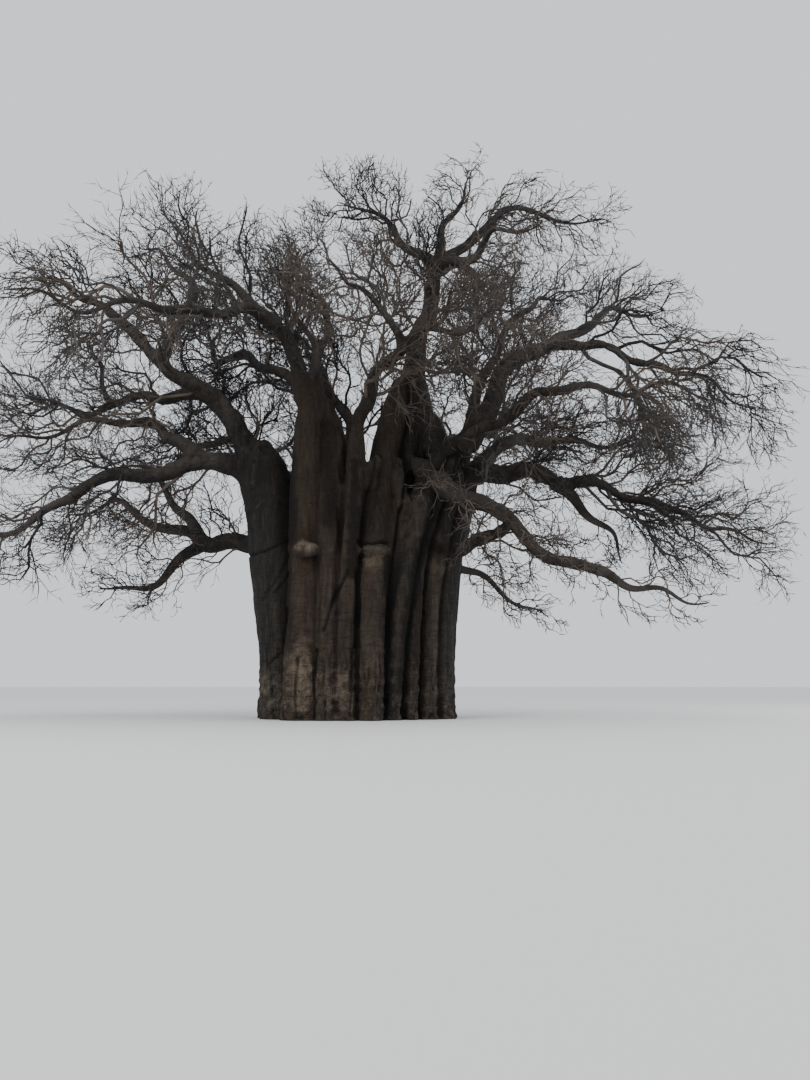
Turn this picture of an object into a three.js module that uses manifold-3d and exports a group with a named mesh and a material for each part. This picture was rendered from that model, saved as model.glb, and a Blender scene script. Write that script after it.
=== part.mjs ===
// A giant baobab in the dry season, without leaves.
// The trunk is a ring of columns that have grown together. Thick boughs leave the tops of the
// columns, and each bough ends where a mass of bare twigs begins.
// Lengths are metres in the tables and millimetres in the solids. +X is right, +Y is away from the
// viewer and +Z is up. The origin is in the middle of the trunk's flat foot, at ground level.
import * as THREE from "three";
import { mergeVertices } from "three/addons/utils/BufferGeometryUtils.js";
import Module from "manifold-3d";

const METRE = 1000;
const CLEARANCE = 0.0003; // between two solids that meet, in metres
const UP = new THREE.Vector3(0, 0, 1);
const GOLDEN_ANGLE = Math.PI * (3 - Math.sqrt(5));
const TWIG_GAP = 0.06; // free space kept round every twig, in metres

// The trunk: the columns from the left one round the front to the right, then round the back.
// "radii" are those at the foot, at the waist and at the top, and "upright" is the share of its
// length over which a column holds its first direction.
const BELOW_GROUND = 0.5; // how far the columns run on before the flat cut
const WAIST = 8; // height of the waist
const FLARE = 0.12; // share by which a column widens at its foot
const FLARE_HEIGHT = 0.8;
const SHOULDER = 0.4; // share by which a column narrows over the last seventh of its length
const CORE = { foot: [0, 0.05], top: [0, 0.1, 9.6], radii: [2.52, 2.6, 2.8], lean: 90 };
const COLUMNS = [
  { foot: [-2.8, -0.95], top: [-4.25, -0.9, 10.6], radii: [0.78, 1.05, 0.95], lean: 60 },
  { foot: [-1.9, -2.3], top: [-1.75, -1.95, 12.6], radii: [0.66, 0.6, 0.58], lean: 88 },
  { foot: [-0.96, -2.7], top: [-0.95, -2.0, 11.6], radii: [0.4, 0.48, 0.52], lean: 86 },
  { foot: [-0.26, -2.75], top: [0.1, -2.45, 11.6], radii: [0.42, 0.32, 0.34], lean: 84, upright: 0.75 },
  { foot: [0.6, -2.75], top: [1.7, -0.7, 13.4], radii: [0.4, 0.6, 0.46], lean: 82, upright: 0.75 },
  { foot: [1.2, -1.5], top: [2.3, -0.2, 14.2], radii: [0.7, 0.8, 0.5], lean: 84 },
  { foot: [1.38, -2.36], top: [4.0, -1.4, 10.6], radii: [0.32, 0.6, 0.64], lean: 50 },
  { foot: [2.0, -1.98], top: [3.6, -1.7, 9.6], radii: [0.3, 0.38, 0.5], lean: 56 },
  { foot: [2.7, -1.45], top: [4.0, -1.0, 9.6], radii: [0.38, 0.46, 0.55], lean: 62 },
  { foot: [3.1, -0.9], top: [4.4, -0.2, 9.9], radii: [0.56, 0.72, 0.66], lean: 66 },
  { foot: [3.05, 0.5], top: [4.25, 1.0, 10.2], radii: [0.72, 0.8, 0.68], lean: 68 },
  { foot: [2.4, 1.8], top: [3.2, 2.8, 10.1], radii: [0.76, 0.78, 0.68], lean: 70 },
  { foot: [1.2, 2.55], top: [1.3, 3.4, 10.0], radii: [0.76, 0.78, 0.68], lean: 74 },
  { foot: [-0.2, 2.75], top: [-0.4, 3.4, 10.3], radii: [0.8, 0.8, 0.7], lean: 76 },
  { foot: [-1.6, 2.35], top: [-2.0, 3.2, 10.0], radii: [0.8, 0.8, 0.7], lean: 70 },
  { foot: [-2.5, 1.5], top: [-3.5, 2.2, 10.2], radii: [0.8, 0.84, 0.74], lean: 66 },
  { foot: [-2.9, 0.3], top: [-4.35, 0.5, 10.4], radii: [0.84, 1.02, 0.9], lean: 60 },
];
// Lumps on the bark: the healed stub of a lost limb, and the ledge of an old wound.
const BURLS = [
  { at: [-1.75, -2.95, 6.1], size: [0.52, 0.42, 0.27] },
  { at: [0.72, -2.75, 6.1], size: [0.62, 0.5, 0.2] },
];

// Boughs and the stems of the masses are limbs. A limb leaves its carrier at "start", or at a share
// "at" of another limb's length, and runs to "tip". "rise" is its slope at both ends, in degrees
// above level, and "radius" its thickness at both ends.
const BOUGHS = {
  left_middle: { start: [-3.9, -0.9, 9.5], tip: [-10.6, -2.2, 8.1], rise: [6, -40], radius: [0.5, 0.22] },
  left_low: { start: [-3.3, 0.4, 7.0], tip: [-6.7, 2.0, 7.1], rise: [-5, 12], radius: [0.5, 0.34] },
  left_fork: { from: "left_middle", at: 0.3, tip: [-9.8, 1.4, 12.0], rise: [48, 5], radius: [0.34, 0.19] },
  left_rise: { start: [-3.9, -0.9, 9.8], tip: [-9.3, -2.2, 15.2], rise: [64, 44], radius: [0.54, 0.22] },
  left_long: { from: "left_rise", at: 0.3, tip: [-11.2, 3.6, 13.4], rise: [34, -2], radius: [0.36, 0.18] },
  left_top: { from: "left_rise", at: 0.66, tip: [-6.6, -0.4, 17.0], rise: [76, 62], radius: [0.26, 0.17] },
  arch_rise: { start: [-2.0, -2.1, 11.7], tip: [-2.9, -4.0, 14.3], rise: [85, 15], radius: [0.4, 0.29] },
  arch_run: { from: "arch_rise", at: 1, tip: [-5.8, -7.6, 13.3], rise: [12, -16], radius: [0.26, 0.16] },
  shelf: { start: [-2.0, -1.6, 11.6], tip: [-6.2, 2.6, 15.0], rise: [66, -8], radius: [0.3, 0.16] },
  crooked: { start: [-1.5, -1.9, 11.7], tip: [-1.4, 0.8, 16.4], rise: [88, 62], radius: [0.32, 0.16] },
  front_up: { start: [0.05, -2.5, 10.9], tip: [1.8, -5.0, 13.0], rise: [70, 15], radius: [0.38, 0.2] },
  back_left_up: { start: [-0.4, 3.3, 9.6], tip: [-2.4, 5.4, 16.2], rise: [84, 42], radius: [0.44, 0.18] },
  centre: { start: [2.0, -0.4, 13.0], tip: [3.2, 0.4, 18.5], rise: [80, 82], radius: [0.56, 0.3] },
  right_rise: { start: [4.1, -1.4, 10.0], tip: [7.9, -1.0, 14.6], rise: [66, 6], radius: [0.54, 0.3] },
  right_spread: { from: "right_rise", at: 1, tip: [11.2, -2.8, 13.1], rise: [0, -22], radius: [0.26, 0.16] },
  right_up: { start: [4.1, 0.9, 9.7], tip: [7.0, 3.4, 17.6], rise: [80, 44], radius: [0.38, 0.16] },
  front_right: { start: [3.9, -1.6, 9.9], tip: [7.4, -5.8, 11.2], rise: [38, -8], radius: [0.34, 0.17] },
  right_low: { start: [4.2, -0.3, 9.4], tip: [8.0, -0.2, 9.1], rise: [14, -26], radius: [0.52, 0.34] },
  right_low_out: { from: "right_low", at: 1, tip: [12.4, 0.1, 8.1], rise: [2, -20], radius: [0.28, 0.17] },
  right_front: { start: [2.9, -2.1, 9.0], tip: [8.2, -6.4, 4.9], rise: [-30, -16], radius: [0.42, 0.2] },
  right_hook: { start: [3.7, -0.9, 6.2], tip: [5.8, -3.4, 7.0], rise: [20, 14], radius: [0.3, 0.22] },
  right_back: { start: [4.0, 1.2, 9.5], tip: [9.4, 5.0, 12.2], rise: [44, 2], radius: [0.46, 0.18] },
  back_left: { start: [-3.2, 2.1, 9.4], tip: [-7.8, 8.2, 12.8], rise: [52, 4], radius: [0.46, 0.18] },
  back_middle: { start: [-1.9, 3.0, 9.3], tip: [-2.6, 9.6, 12.0], rise: [55, 0], radius: [0.44, 0.18] },
  back_right: { start: [3.0, 2.6, 9.4], tip: [6.0, 8.8, 13.4], rise: [62, 8], radius: [0.48, 0.18] },
};

// "spread" is how far the first twigs stand out from the stem, and "pull" bends them as they grow.
const MASSES = {
  left_middle: { from: "left_middle", tip: [-15.6, -3.4, 6.4], rise: [-38, 4], spread: 2.8, pull: [-0.4, 0, 0] },
  left_low: { from: "left_low", tip: [-13.6, 5.6, 8.9], rise: [34, -8], spread: 2.6, pull: [-0.4, 0.2, 0] },
  left_low_up: { from: "left_low", tip: [-11.0, 4.6, 11.0], rise: [52, 8], spread: 2.2, pull: [-0.2, 0.1, 0.3] },
  left_low_drop: { from: "left_low", tip: [-10.6, 1.4, 5.2], rise: [-48, 26], spread: 1.8, pull: [-0.3, 0, 0.1] },
  left_fork: { from: "left_fork", tip: [-15.2, 0.8, 10.7], rise: [5, -24], spread: 2.9, pull: [-0.5, 0, -0.3] },
  left_long: { from: "left_long", tip: [-16.2, 4.8, 13.6], rise: [-12, 4], spread: 2.8, pull: [-0.3, 0.1, 0.3] },
  left_long_up: { from: "left_long", tip: [-12.6, 4.2, 16.8], rise: [72, 50], spread: 2.6, pull: [-0.3, 0.1, 0.2] },
  left_rise: { from: "left_rise", tip: [-12.0, -3.6, 16.2], rise: [40, 0], spread: 2.2, pull: [-0.3, -0.1, 0] },
  left_top: { from: "left_top", tip: [-9.4, 0.6, 19.4], rise: [66, 18], spread: 2.8, pull: [-0.2, 0, 0.4] },
  arch: { from: "arch_run", tip: [-9.6, -11.4, 12.4], rise: [-12, -6], spread: 3.0, pull: [-0.2, -0.3, 0.1] },
  arch_up: { from: "arch_rise", tip: [-6.2, -6.2, 17.0], rise: [34, 52], spread: 2.6, pull: [-0.2, -0.1, 0.4] },
  shelf: { from: "shelf", tip: [-7.6, 5.2, 18.6], rise: [10, 66], spread: 3.0, pull: [-0.1, 0.1, 0.4] },
  leader: { start: [-1.8, -2.0, 11.9], tip: [-2.6, -1.6, 18.8], rise: [88, 84], spread: 2.4, pull: [0, 0, 0.5] },
  crooked: { from: "crooked", tip: [-3.6, 2.6, 19.6], rise: [66, 40], spread: 2.8, pull: [0, 0.1, 0.5] },
  front: { from: "front_up", tip: [5.6, -8.8, 12.8], rise: [20, -6], spread: 2.8, pull: [0.2, -0.3, 0] },
  front_left: { from: "front_up", tip: [-0.6, -9.6, 14.2], rise: [50, 6], spread: 2.8, pull: [-0.1, -0.3, 0.1] },
  back_left_up: { from: "back_left_up", tip: [-4.4, 9.0, 18.8], rise: [40, 30], spread: 3.0, pull: [0, 0.2, 0.4] },
  top_left: { from: "centre", tip: [-1.0, 0.6, 21.4], rise: [44, 12], spread: 2.6, pull: [-0.3, 0, 0.4] },
  top_middle: { from: "centre", tip: [4.6, -0.2, 22.2], rise: [82, 56], spread: 2.4, pull: [0.2, 0, 0.4] },
  top_right: { from: "centre", tip: [10.6, 1.4, 21.0], rise: [62, -6], spread: 2.5, pull: [0.5, 0, 0.1] },
  top_front: { from: "centre", tip: [6.8, -5.2, 17.6], rise: [4, -6], spread: 2.7, pull: [0.2, -0.3, 0.2] },
  top_back: { from: "centre", tip: [6.2, 7.0, 19.8], rise: [30, 10], spread: 3.0, pull: [0.1, 0.3, 0.3] },
  right_rise: { from: "right_rise", tip: [12.8, 1.4, 16.9], rise: [44, 10], spread: 2.8, pull: [0.5, 0, 0.1] },
  right_spread: { from: "right_spread", tip: [14.6, -3.8, 11.0], rise: [-14, -36], spread: 2.5, pull: [0.3, 0, -0.5] },
  right_up: { from: "right_up", tip: [9.8, 5.4, 19.2], rise: [42, 10], spread: 2.8, pull: [0.3, 0.1, 0.3] },
  front_right: { from: "front_right", tip: [11.4, -8.8, 9.9], rise: [-4, -28], spread: 2.8, pull: [0.3, -0.3, -0.3] },
  right_low: { from: "right_low_out", tip: [16.6, 0.4, 6.8], rise: [-20, -6], spread: 2.8, pull: [0.5, 0, -0.3] },
  right_low_drop: { from: "right_low", tip: [10.5, 0.6, 6.0], rise: [-42, -80], spread: 1.8, pull: [0.3, 0, -0.1] },
  right_front: { from: "right_front", tip: [11.4, -7.4, 3.8], rise: [-22, 0], spread: 1.9, pull: [0.3, -0.1, 0.2] },
  right_lowest: { start: [3.5, 0.4, 6.1], tip: [7.9, 2.8, 4.0], rise: [-14, -18], spread: 1.6, pull: [0.3, 0.1, 0] },
  right_back: { from: "right_back", tip: [14.2, 7.4, 12.6], rise: [0, 2], spread: 3.2, pull: [0.4, 0.2, 0] },
  back_left: { from: "back_left", tip: [-11.0, 12.2, 13.0], rise: [0, 4], spread: 3.4, pull: [-0.2, 0.3, 0.1] },
  back_middle: { from: "back_middle", tip: [-3.0, 14.6, 12.2], rise: [-2, 2], spread: 3.4, pull: [0, 0.4, 0.1] },
  back_right: { from: "back_right", tip: [8.4, 13.4, 14.2], rise: [8, 6], spread: 3.4, pull: [0.2, 0.3, 0.1] },
};

const STEM_RADIUS_SHARE = 0.82; // of the radius of the bough that carries the stem
const FREE_STEM_RADIUS = 0.19; // of a stem that starts on the trunk
const STEM_TIP_RADIUS = 0.022;
const CROOK = { bough: 0.035, stem: 0.05, twig: 0.07 }; // sideways wander, as a share of length

// Each level of twigs: how many leave one parent, the shares of the parent's length between which
// they leave, how far they lean off it in degrees, and their length as a share of the parent's.
const TWIG_LEVELS = [
  { count: 7, from: 0.1, to: 1.0, lean: 48, share: 1, steps: 3 },
  { count: 2, from: 0.3, to: 0.95, lean: 42, share: 0.6, steps: 1 },
];
const TWIG_SLIMNESS = 0.017; // radius at the root as a share of a twig's length
const TWIG_MOST_OF_PARENT = 0.62;

const MATERIALS = {
  trunk_bark: new THREE.MeshStandardMaterial({ color: 0x5d5046, roughness: 0.92, metalness: 0 }),
  bough_bark: new THREE.MeshStandardMaterial({ color: 0x554b45, roughness: 0.9, metalness: 0 }),
  twig_bark: new THREE.MeshStandardMaterial({ color: 0x4a4341, roughness: 0.9, metalness: 0 }),
};

const wasm = await Module();
wasm.setup();

// A repeatable number from 0 to 1 for a seed and the number of the draw.
function chance(seed, draw) {
  let h = Math.imul((seed ^ Math.imul(draw + 1, 0x9e3779b1)) >>> 0, 0x85ebca6b);
  h ^= h >>> 13;
  h = Math.imul(h, 0xc2b2ae35);
  h ^= h >>> 16;
  return (h >>> 0) / 4294967296;
}

function childSeed(seed, index) {
  return Math.floor(chance(seed, 100 + index) * 4294967296);
}

function vector(values) {
  return new THREE.Vector3(...values);
}

// The direction that climbs at so many degrees over the level direction of a reach.
function slope(reach, degrees) {
  const level = new THREE.Vector3(reach.x, reach.y, 0).normalize();
  const angle = THREE.MathUtils.degToRad(degrees);
  return level.multiplyScalar(Math.cos(angle)).add(UP.clone().multiplyScalar(Math.sin(angle)));
}

// A direction square to the given one, level where that is possible.
function across(direction) {
  const side = new THREE.Vector3().crossVectors(direction, UP);
  if (side.length() < 0.05) side.set(1, 0, 0);
  return side.normalize();
}

// The line that a limb follows: a smooth bend between its ends, with a seeded wander on it.
class LimbPath extends THREE.Curve {
  constructor(start, leaving, tip, arriving, seed, crook) {
    super();
    const chord = tip.clone().sub(start);
    this.span = chord.length();
    const third = this.span / 3;
    this.bend = new THREE.CubicBezierCurve3(
      start.clone(),
      start.clone().addScaledVector(leaving, third),
      tip.clone().addScaledVector(arriving, -third),
      tip.clone(),
    );
    this.side = across(chord.clone().normalize());
    this.rise = new THREE.Vector3().crossVectors(this.side, chord).normalize();
    this.sway = crook * this.span;
    this.phases = [chance(seed, 11), chance(seed, 12)];
  }

  getPoint(t, target = new THREE.Vector3()) {
    this.bend.getPoint(t, target);
    const size = 4 * t * (1 - t) * this.sway;
    const turns = [1.1 * t + this.phases[0], 1.6 * t + this.phases[1]];
    target.addScaledVector(this.side, size * Math.sin(2 * Math.PI * turns[0]));
    target.addScaledVector(this.rise, size * Math.sin(2 * Math.PI * turns[1]));
    return target;
  }

  direction(t) {
    const step = 0.01;
    const before = this.getPoint(Math.max(0, t - step));
    return this.getPoint(Math.min(1, t + step)).sub(before).normalize();
  }
}

function limb(name, start, leaving, tip, arriving, radii, seed, crook) {
  const path = new LimbPath(start, leaving, tip, arriving, seed, crook);
  const radiusAt = (t) => radii[1] + (radii[0] - radii[1]) * (1 - t) ** 1.15;
  return { name, path, seed, radiusAt, length: path.span };
}

// A round blank is bent along the limb's path. A pointed limb is a cone, and others end in a flat face.
function limbGeometry(made, sides, steps, options = {}) {
  const { pointed = false, grown = 0 } = options;
  const shape = pointed ? THREE.ConeGeometry : THREE.CylinderGeometry;
  const geometry = pointed ? new shape(1, 1, sides, steps) : new shape(1, 1, 1, sides, steps);
  const frames = [];
  let normal = across(made.path.direction(0));
  for (let i = 0; i <= steps; i++) {
    const tangent = made.path.direction(i / steps);
    normal.addScaledVector(tangent, -normal.dot(tangent)).normalize();
    const binormal = new THREE.Vector3().crossVectors(tangent, normal);
    frames.push({ at: made.path.getPoint(i / steps), tangent, normal: normal.clone(), binormal });
  }
  const position = geometry.getAttribute("position");
  for (let i = 0; i < position.count; i++) {
    const share = position.getY(i) + 0.5;
    const frame = frames[Math.round(share * steps)];
    const point = frame.at.clone();
    if (share < 0.001) point.addScaledVector(frame.tangent, -grown);
    if (share > 0.999) point.addScaledVector(frame.tangent, grown);
    const [x, z] = [position.getX(i), position.getZ(i)];
    const blank = Math.hypot(x, z);
    if (blank > 1e-6) {
      const bumpy = made.bump ? made.bump(Math.atan2(z, x), share) : 1;
      const radius = made.radiusAt(share) * bumpy + grown;
      point.addScaledVector(frame.normal, (z / blank) * radius);
      point.addScaledVector(frame.binormal, (x / blank) * radius);
    }
    position.setXYZ(i, point.x * METRE, point.y * METRE, point.z * METRE);
  }
  return geometry;
}

function solidOf(geometry) {
  const bare = geometry.clone();
  bare.deleteAttribute("normal");
  bare.deleteAttribute("uv");
  const merged = mergeVertices(bare, 1e-3);
  return new wasm.Manifold(
    new wasm.Mesh({
      numProp: 3,
      vertProperties: merged.getAttribute("position").array,
      triVerts: new Uint32Array(merged.index.array),
    }),
  );
}

function geometryOf(solid) {
  const mesh = solid.getMesh();
  const geometry = new THREE.BufferGeometry();
  geometry.setAttribute("position", new THREE.BufferAttribute(mesh.vertProperties, 3));
  geometry.setIndex(new THREE.BufferAttribute(mesh.triVerts, 1));
  geometry.computeVertexNormals();
  return geometry;
}

function largestPiece(solid) {
  return solid.decompose().reduce((a, b) => (b.volume() > a.volume() ? b : a));
}

function boxesMeet(a, b) {
  const [p, q] = [a.boundingBox(), b.boundingBox()];
  return [0, 1, 2].every((i) => p.min[i] < q.max[i] && q.min[i] < p.max[i]);
}

// The radius of a column at a height: an even change from foot to waist and from waist to top.
function plainRadius(row, z) {
  const [foot, waist, top] = row.radii;
  if (z < WAIST) return foot + (waist - foot) * (Math.max(z, 0) / WAIST);
  return waist + (top - waist) * ((z - WAIST) / (row.top[2] - WAIST));
}

// A column of the trunk, upright at its flared foot and bending out to its shoulder.
function column(row, index) {
  const foot = new THREE.Vector3(row.foot[0], row.foot[1], -BELOW_GROUND);
  const top = vector(row.top);
  const made = limb("column", foot, UP, top, slope(top, row.lean), [1, 1], index, 0.004);
  made.path.bend.v1.copy(foot).addScaledVector(UP, made.length * (row.upright ?? 0.5));
  made.path.bend.v2.copy(top).addScaledVector(slope(top, row.lean), made.length * -0.24);
  made.radiusAt = (t) => {
    const z = made.path.getPoint(t).z;
    const swelling = 1 + 0.04 * Math.sin(2 * Math.PI * (1.4 * t + chance(index, 5)));
    const flare = 1 + FLARE * Math.exp(-Math.max(z, 0) / FLARE_HEIGHT);
    const shoulder = 1 - SHOULDER * Math.max(0, 7 * t - 6);
    return plainRadius(row, z) * swelling * flare * shoulder;
  };
  const lobes = 2 + Math.floor(3 * chance(index, 6));
  made.bump = (angle, t) => 1 + 0.05 * Math.sin(lobes * angle + 5 * t + 6 * chance(index, 7));
  return made;
}

function trunkLimbs() {
  return [CORE, ...COLUMNS].map((row, i) => column(row, 900 + i));
}

function trunkSolid(columns, grown) {
  const solids = columns.map((made, i) => {
    const [sides, steps] = i === 0 ? [12, 4] : [8, 6];
    return solidOf(limbGeometry(made, sides, steps, { grown }));
  });
  for (const { at, size } of BURLS) {
    const burl = new THREE.SphereGeometry(1, 8, 6);
    burl.scale(...size.map((s) => (s + grown) * METRE));
    burl.translate(...at.map((v) => v * METRE));
    solids.push(solidOf(burl));
  }
  const whole = solids.reduce((a, b) => a.add(b));
  return largestPiece(whole.trimByPlane([0, 0, 1], 0));
}

// The limbs of a table, in order, each starting on the trunk or on a limb made before it.
function limbsOf(table, carriers, firstSeed, kind) {
  const made = new Map();
  Object.entries(table).forEach(([name, row], i) => {
    const seed = childSeed(firstSeed, i);
    const carrier = row.from && (carriers.get(row.from) ?? made.get(row.from));
    const at = row.at ?? 1;
    const start = carrier ? carrier.path.getPoint(at) : vector(row.start);
    if (carrier && at === 1) start.addScaledVector(carrier.path.direction(1), -0.6 * carrier.radiusAt(1));
    const tip = vector(row.tip);
    const reach = tip.clone().sub(start);
    const radii = row.radius ?? [
      carrier ? STEM_RADIUS_SHARE * carrier.radiusAt(1) : FREE_STEM_RADIUS,
      STEM_TIP_RADIUS,
    ];
    const [leaving, arriving] = row.rise.map((degrees) => slope(reach, degrees));
    const one = limb(name, start, leaving, tip, arriving, radii, seed, CROOK[kind]);
    made.set(name, { ...one, row });
  });
  return made;
}

// A twig that leaves its parent at one of the places that its level gives.
function twig(parent, level, index, mass) {
  const rule = TWIG_LEVELS[level];
  const seed = childSeed(parent.seed, index);
  const at = rule.from + ((rule.to - rule.from) * (index + chance(seed, 0))) / rule.count;
  const lean = THREE.MathUtils.degToRad(rule.lean * (0.7 + 0.6 * chance(seed, 1)));
  const roll = GOLDEN_ANGLE * index + 2 * Math.PI * chance(parent.seed, 2) + 1.2 * chance(seed, 2);
  const along = parent.path.direction(at);
  const side = across(along);
  const other = new THREE.Vector3().crossVectors(along, side);
  const leaving = along.multiplyScalar(Math.cos(lean));
  leaving.addScaledVector(side, Math.sin(lean) * Math.cos(roll));
  leaving.addScaledVector(other, Math.sin(lean) * Math.sin(roll));
  const full = level === 0 ? mass.row.spread : parent.length * rule.share;
  const length = full * (1.15 - 0.5 * at) * (0.8 + 0.4 * chance(seed, 3));
  const arriving = leaving.clone().add(vector(mass.row.pull)).normalize();
  const start = parent.path.getPoint(at);
  const tip = start.clone().addScaledVector(leaving, length / 2).addScaledVector(arriving, length / 2);
  const root = Math.min(TWIG_SLIMNESS * length, TWIG_MOST_OF_PARENT * parent.radiusAt(at));
  return limb("twig", start, leaving, tip, arriving, [root, root * 0.3], seed, CROOK.twig);
}

// A limb as short straight stretches, to measure distances from.
function stretches(made, count) {
  return Array.from({ length: count }, (_, i) => {
    const [t0, t1] = [i / count, (i + 1) / count];
    const line = new THREE.Line3(made.path.getPoint(t0), made.path.getPoint(t1));
    return { line, radius: Math.max(made.radiusAt(t0), made.radiusAt(t1)) };
  });
}

function distance(point, parts, surface) {
  const near = new THREE.Vector3();
  return parts.reduce((least, { line, radius }) => {
    line.closestPointToPoint(point, true, near);
    return Math.min(least, near.distanceTo(point) - (surface ? radius : 0));
  }, Infinity);
}

// A twig keeps clear of all limbs and stems, and from a third of its length on it keeps to its
// mass's own space, which is what lies nearer its own stem than any other.
function fits(made, own, others, limbs) {
  return [0, 0.15, 0.3, 0.5, 0.75, 1].every((t) => {
    const point = made.path.getPoint(t);
    const room = made.radiusAt(t) + TWIG_GAP;
    if (distance(point, limbs, true) < room || distance(point, others, true) < room) return false;
    return t < 0.3 || distance(point, own, false) + 2 * room < distance(point, others, false);
  });
}

// All the twigs of a mass, level by level. A twig that doesn't fit is left out with all it carries.
function twigsOf(mass, own, others, limbs) {
  const found = [];
  let parents = [mass];
  TWIG_LEVELS.forEach((rule, level) => {
    const next = [];
    for (const parent of parents) {
      for (let i = 0; i < rule.count; i++) {
        const made = twig(parent, level, i, mass);
        if (fits(made, own, others, limbs)) next.push({ ...made, level });
      }
    }
    found.push(...next);
    parents = next;
  });
  return found;
}

function named(name, solid, material) {
  const mesh = new THREE.Mesh(geometryOf(solid), MATERIALS[material]);
  mesh.name = name;
  return mesh;
}

function baobab() {
  const tree = new THREE.Group();
  const columns = trunkLimbs();
  const trunk = trunkSolid(columns, 0);
  const boughs = limbsOf(BOUGHS, new Map(), 17, "bough");
  const masses = limbsOf(MASSES, boughs, 29, "stem");
  tree.add(named("trunk", trunk, "trunk_bark"));

  // Each limb is cut clear of the trunk and of every limb before it.
  const before = [trunkSolid(columns, CLEARANCE)];
  const cutClear = (solid) => {
    const near = before.filter((other) => boxesMeet(solid, other));
    return largestPiece(near.reduce((left, other) => left.subtract(other), solid));
  };
  for (const [name, bough] of boughs) {
    const solid = cutClear(solidOf(limbGeometry(bough, 7, 6)));
    before.push(solidOf(limbGeometry(bough, 7, 6, { grown: CLEARANCE })));
    tree.add(named("bough_" + name, solid, "bough_bark"));
  }

  const limbs = [...columns, ...boughs.values()].flatMap((made) => stretches(made, 8));
  const stems = new Map([...masses].map(([name, made]) => [name, stretches(made, 8)]));
  for (const [name, mass] of masses) {
    const others = [...stems].filter(([other]) => other !== name).flatMap(([, parts]) => parts);
    const stem = solidOf(limbGeometry(mass, 4, 5, { pointed: true }));
    const twigs = twigsOf(mass, stems.get(name), others, limbs).map((made) => {
      return solidOf(limbGeometry(made, 3, TWIG_LEVELS[made.level].steps, { pointed: true }));
    });
    const whole = cutClear(twigs.reduce((a, b) => a.add(b), stem));
    before.push(solidOf(limbGeometry(mass, 4, 5, { pointed: true, grown: CLEARANCE })));
    tree.add(named("twigs_" + name, whole, "twig_bark"));
  }
  return tree;
}

export default baobab();
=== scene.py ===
"""A giant baobab in the dry season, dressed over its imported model.

The trunk's columns, the boughs and the stems of the twig masses follow the same rule and the same
sizes as the model's source. The twigs grow on by that rule to finer levels. Lengths are metres.
"""

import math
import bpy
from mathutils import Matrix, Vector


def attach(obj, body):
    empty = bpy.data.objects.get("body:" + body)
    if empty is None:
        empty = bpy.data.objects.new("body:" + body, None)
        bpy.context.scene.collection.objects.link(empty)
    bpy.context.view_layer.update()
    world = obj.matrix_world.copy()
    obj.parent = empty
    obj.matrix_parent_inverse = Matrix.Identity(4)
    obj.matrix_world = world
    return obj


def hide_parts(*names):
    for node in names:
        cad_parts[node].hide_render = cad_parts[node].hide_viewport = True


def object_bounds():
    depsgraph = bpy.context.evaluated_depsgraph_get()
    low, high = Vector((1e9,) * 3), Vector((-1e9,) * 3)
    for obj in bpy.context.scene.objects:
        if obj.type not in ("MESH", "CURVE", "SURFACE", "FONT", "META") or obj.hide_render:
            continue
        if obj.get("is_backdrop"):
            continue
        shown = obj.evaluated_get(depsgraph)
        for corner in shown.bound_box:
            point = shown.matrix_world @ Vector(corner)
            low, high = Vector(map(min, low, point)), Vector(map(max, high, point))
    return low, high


bl_info = {
    "name": "Bare Baobab",
    "version": (1, 0, 0),
    "blender": (4, 5, 0),
    "location": "View3D > Sidebar > Baobab",
    "description": "Builds the bark, boughs and bare twigs of a giant baobab over its model",
    "category": "Object",
}

import bmesh
import bpy
import numpy as np
from mathutils import Vector, noise

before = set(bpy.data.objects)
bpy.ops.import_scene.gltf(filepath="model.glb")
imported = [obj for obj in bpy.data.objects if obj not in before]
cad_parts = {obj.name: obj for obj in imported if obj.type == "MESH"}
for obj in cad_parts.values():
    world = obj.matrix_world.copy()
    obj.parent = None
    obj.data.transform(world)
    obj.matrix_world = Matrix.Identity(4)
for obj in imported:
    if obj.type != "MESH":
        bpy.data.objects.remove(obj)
CAD_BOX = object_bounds()

UP = np.array([0.0, 0.0, 1.0])
GOLDEN_ANGLE = math.pi * (3 - math.sqrt(5))

# The words that mix a seed and a draw into a repeatable number, as in the source.
MASK = 0xFFFFFFFF
WORD = 4294967296.0
DRAW_STEP = 0x9E3779B1
FIRST_MIX = 0x85EBCA6B
SECOND_MIX = 0xC2B2AE35

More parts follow.
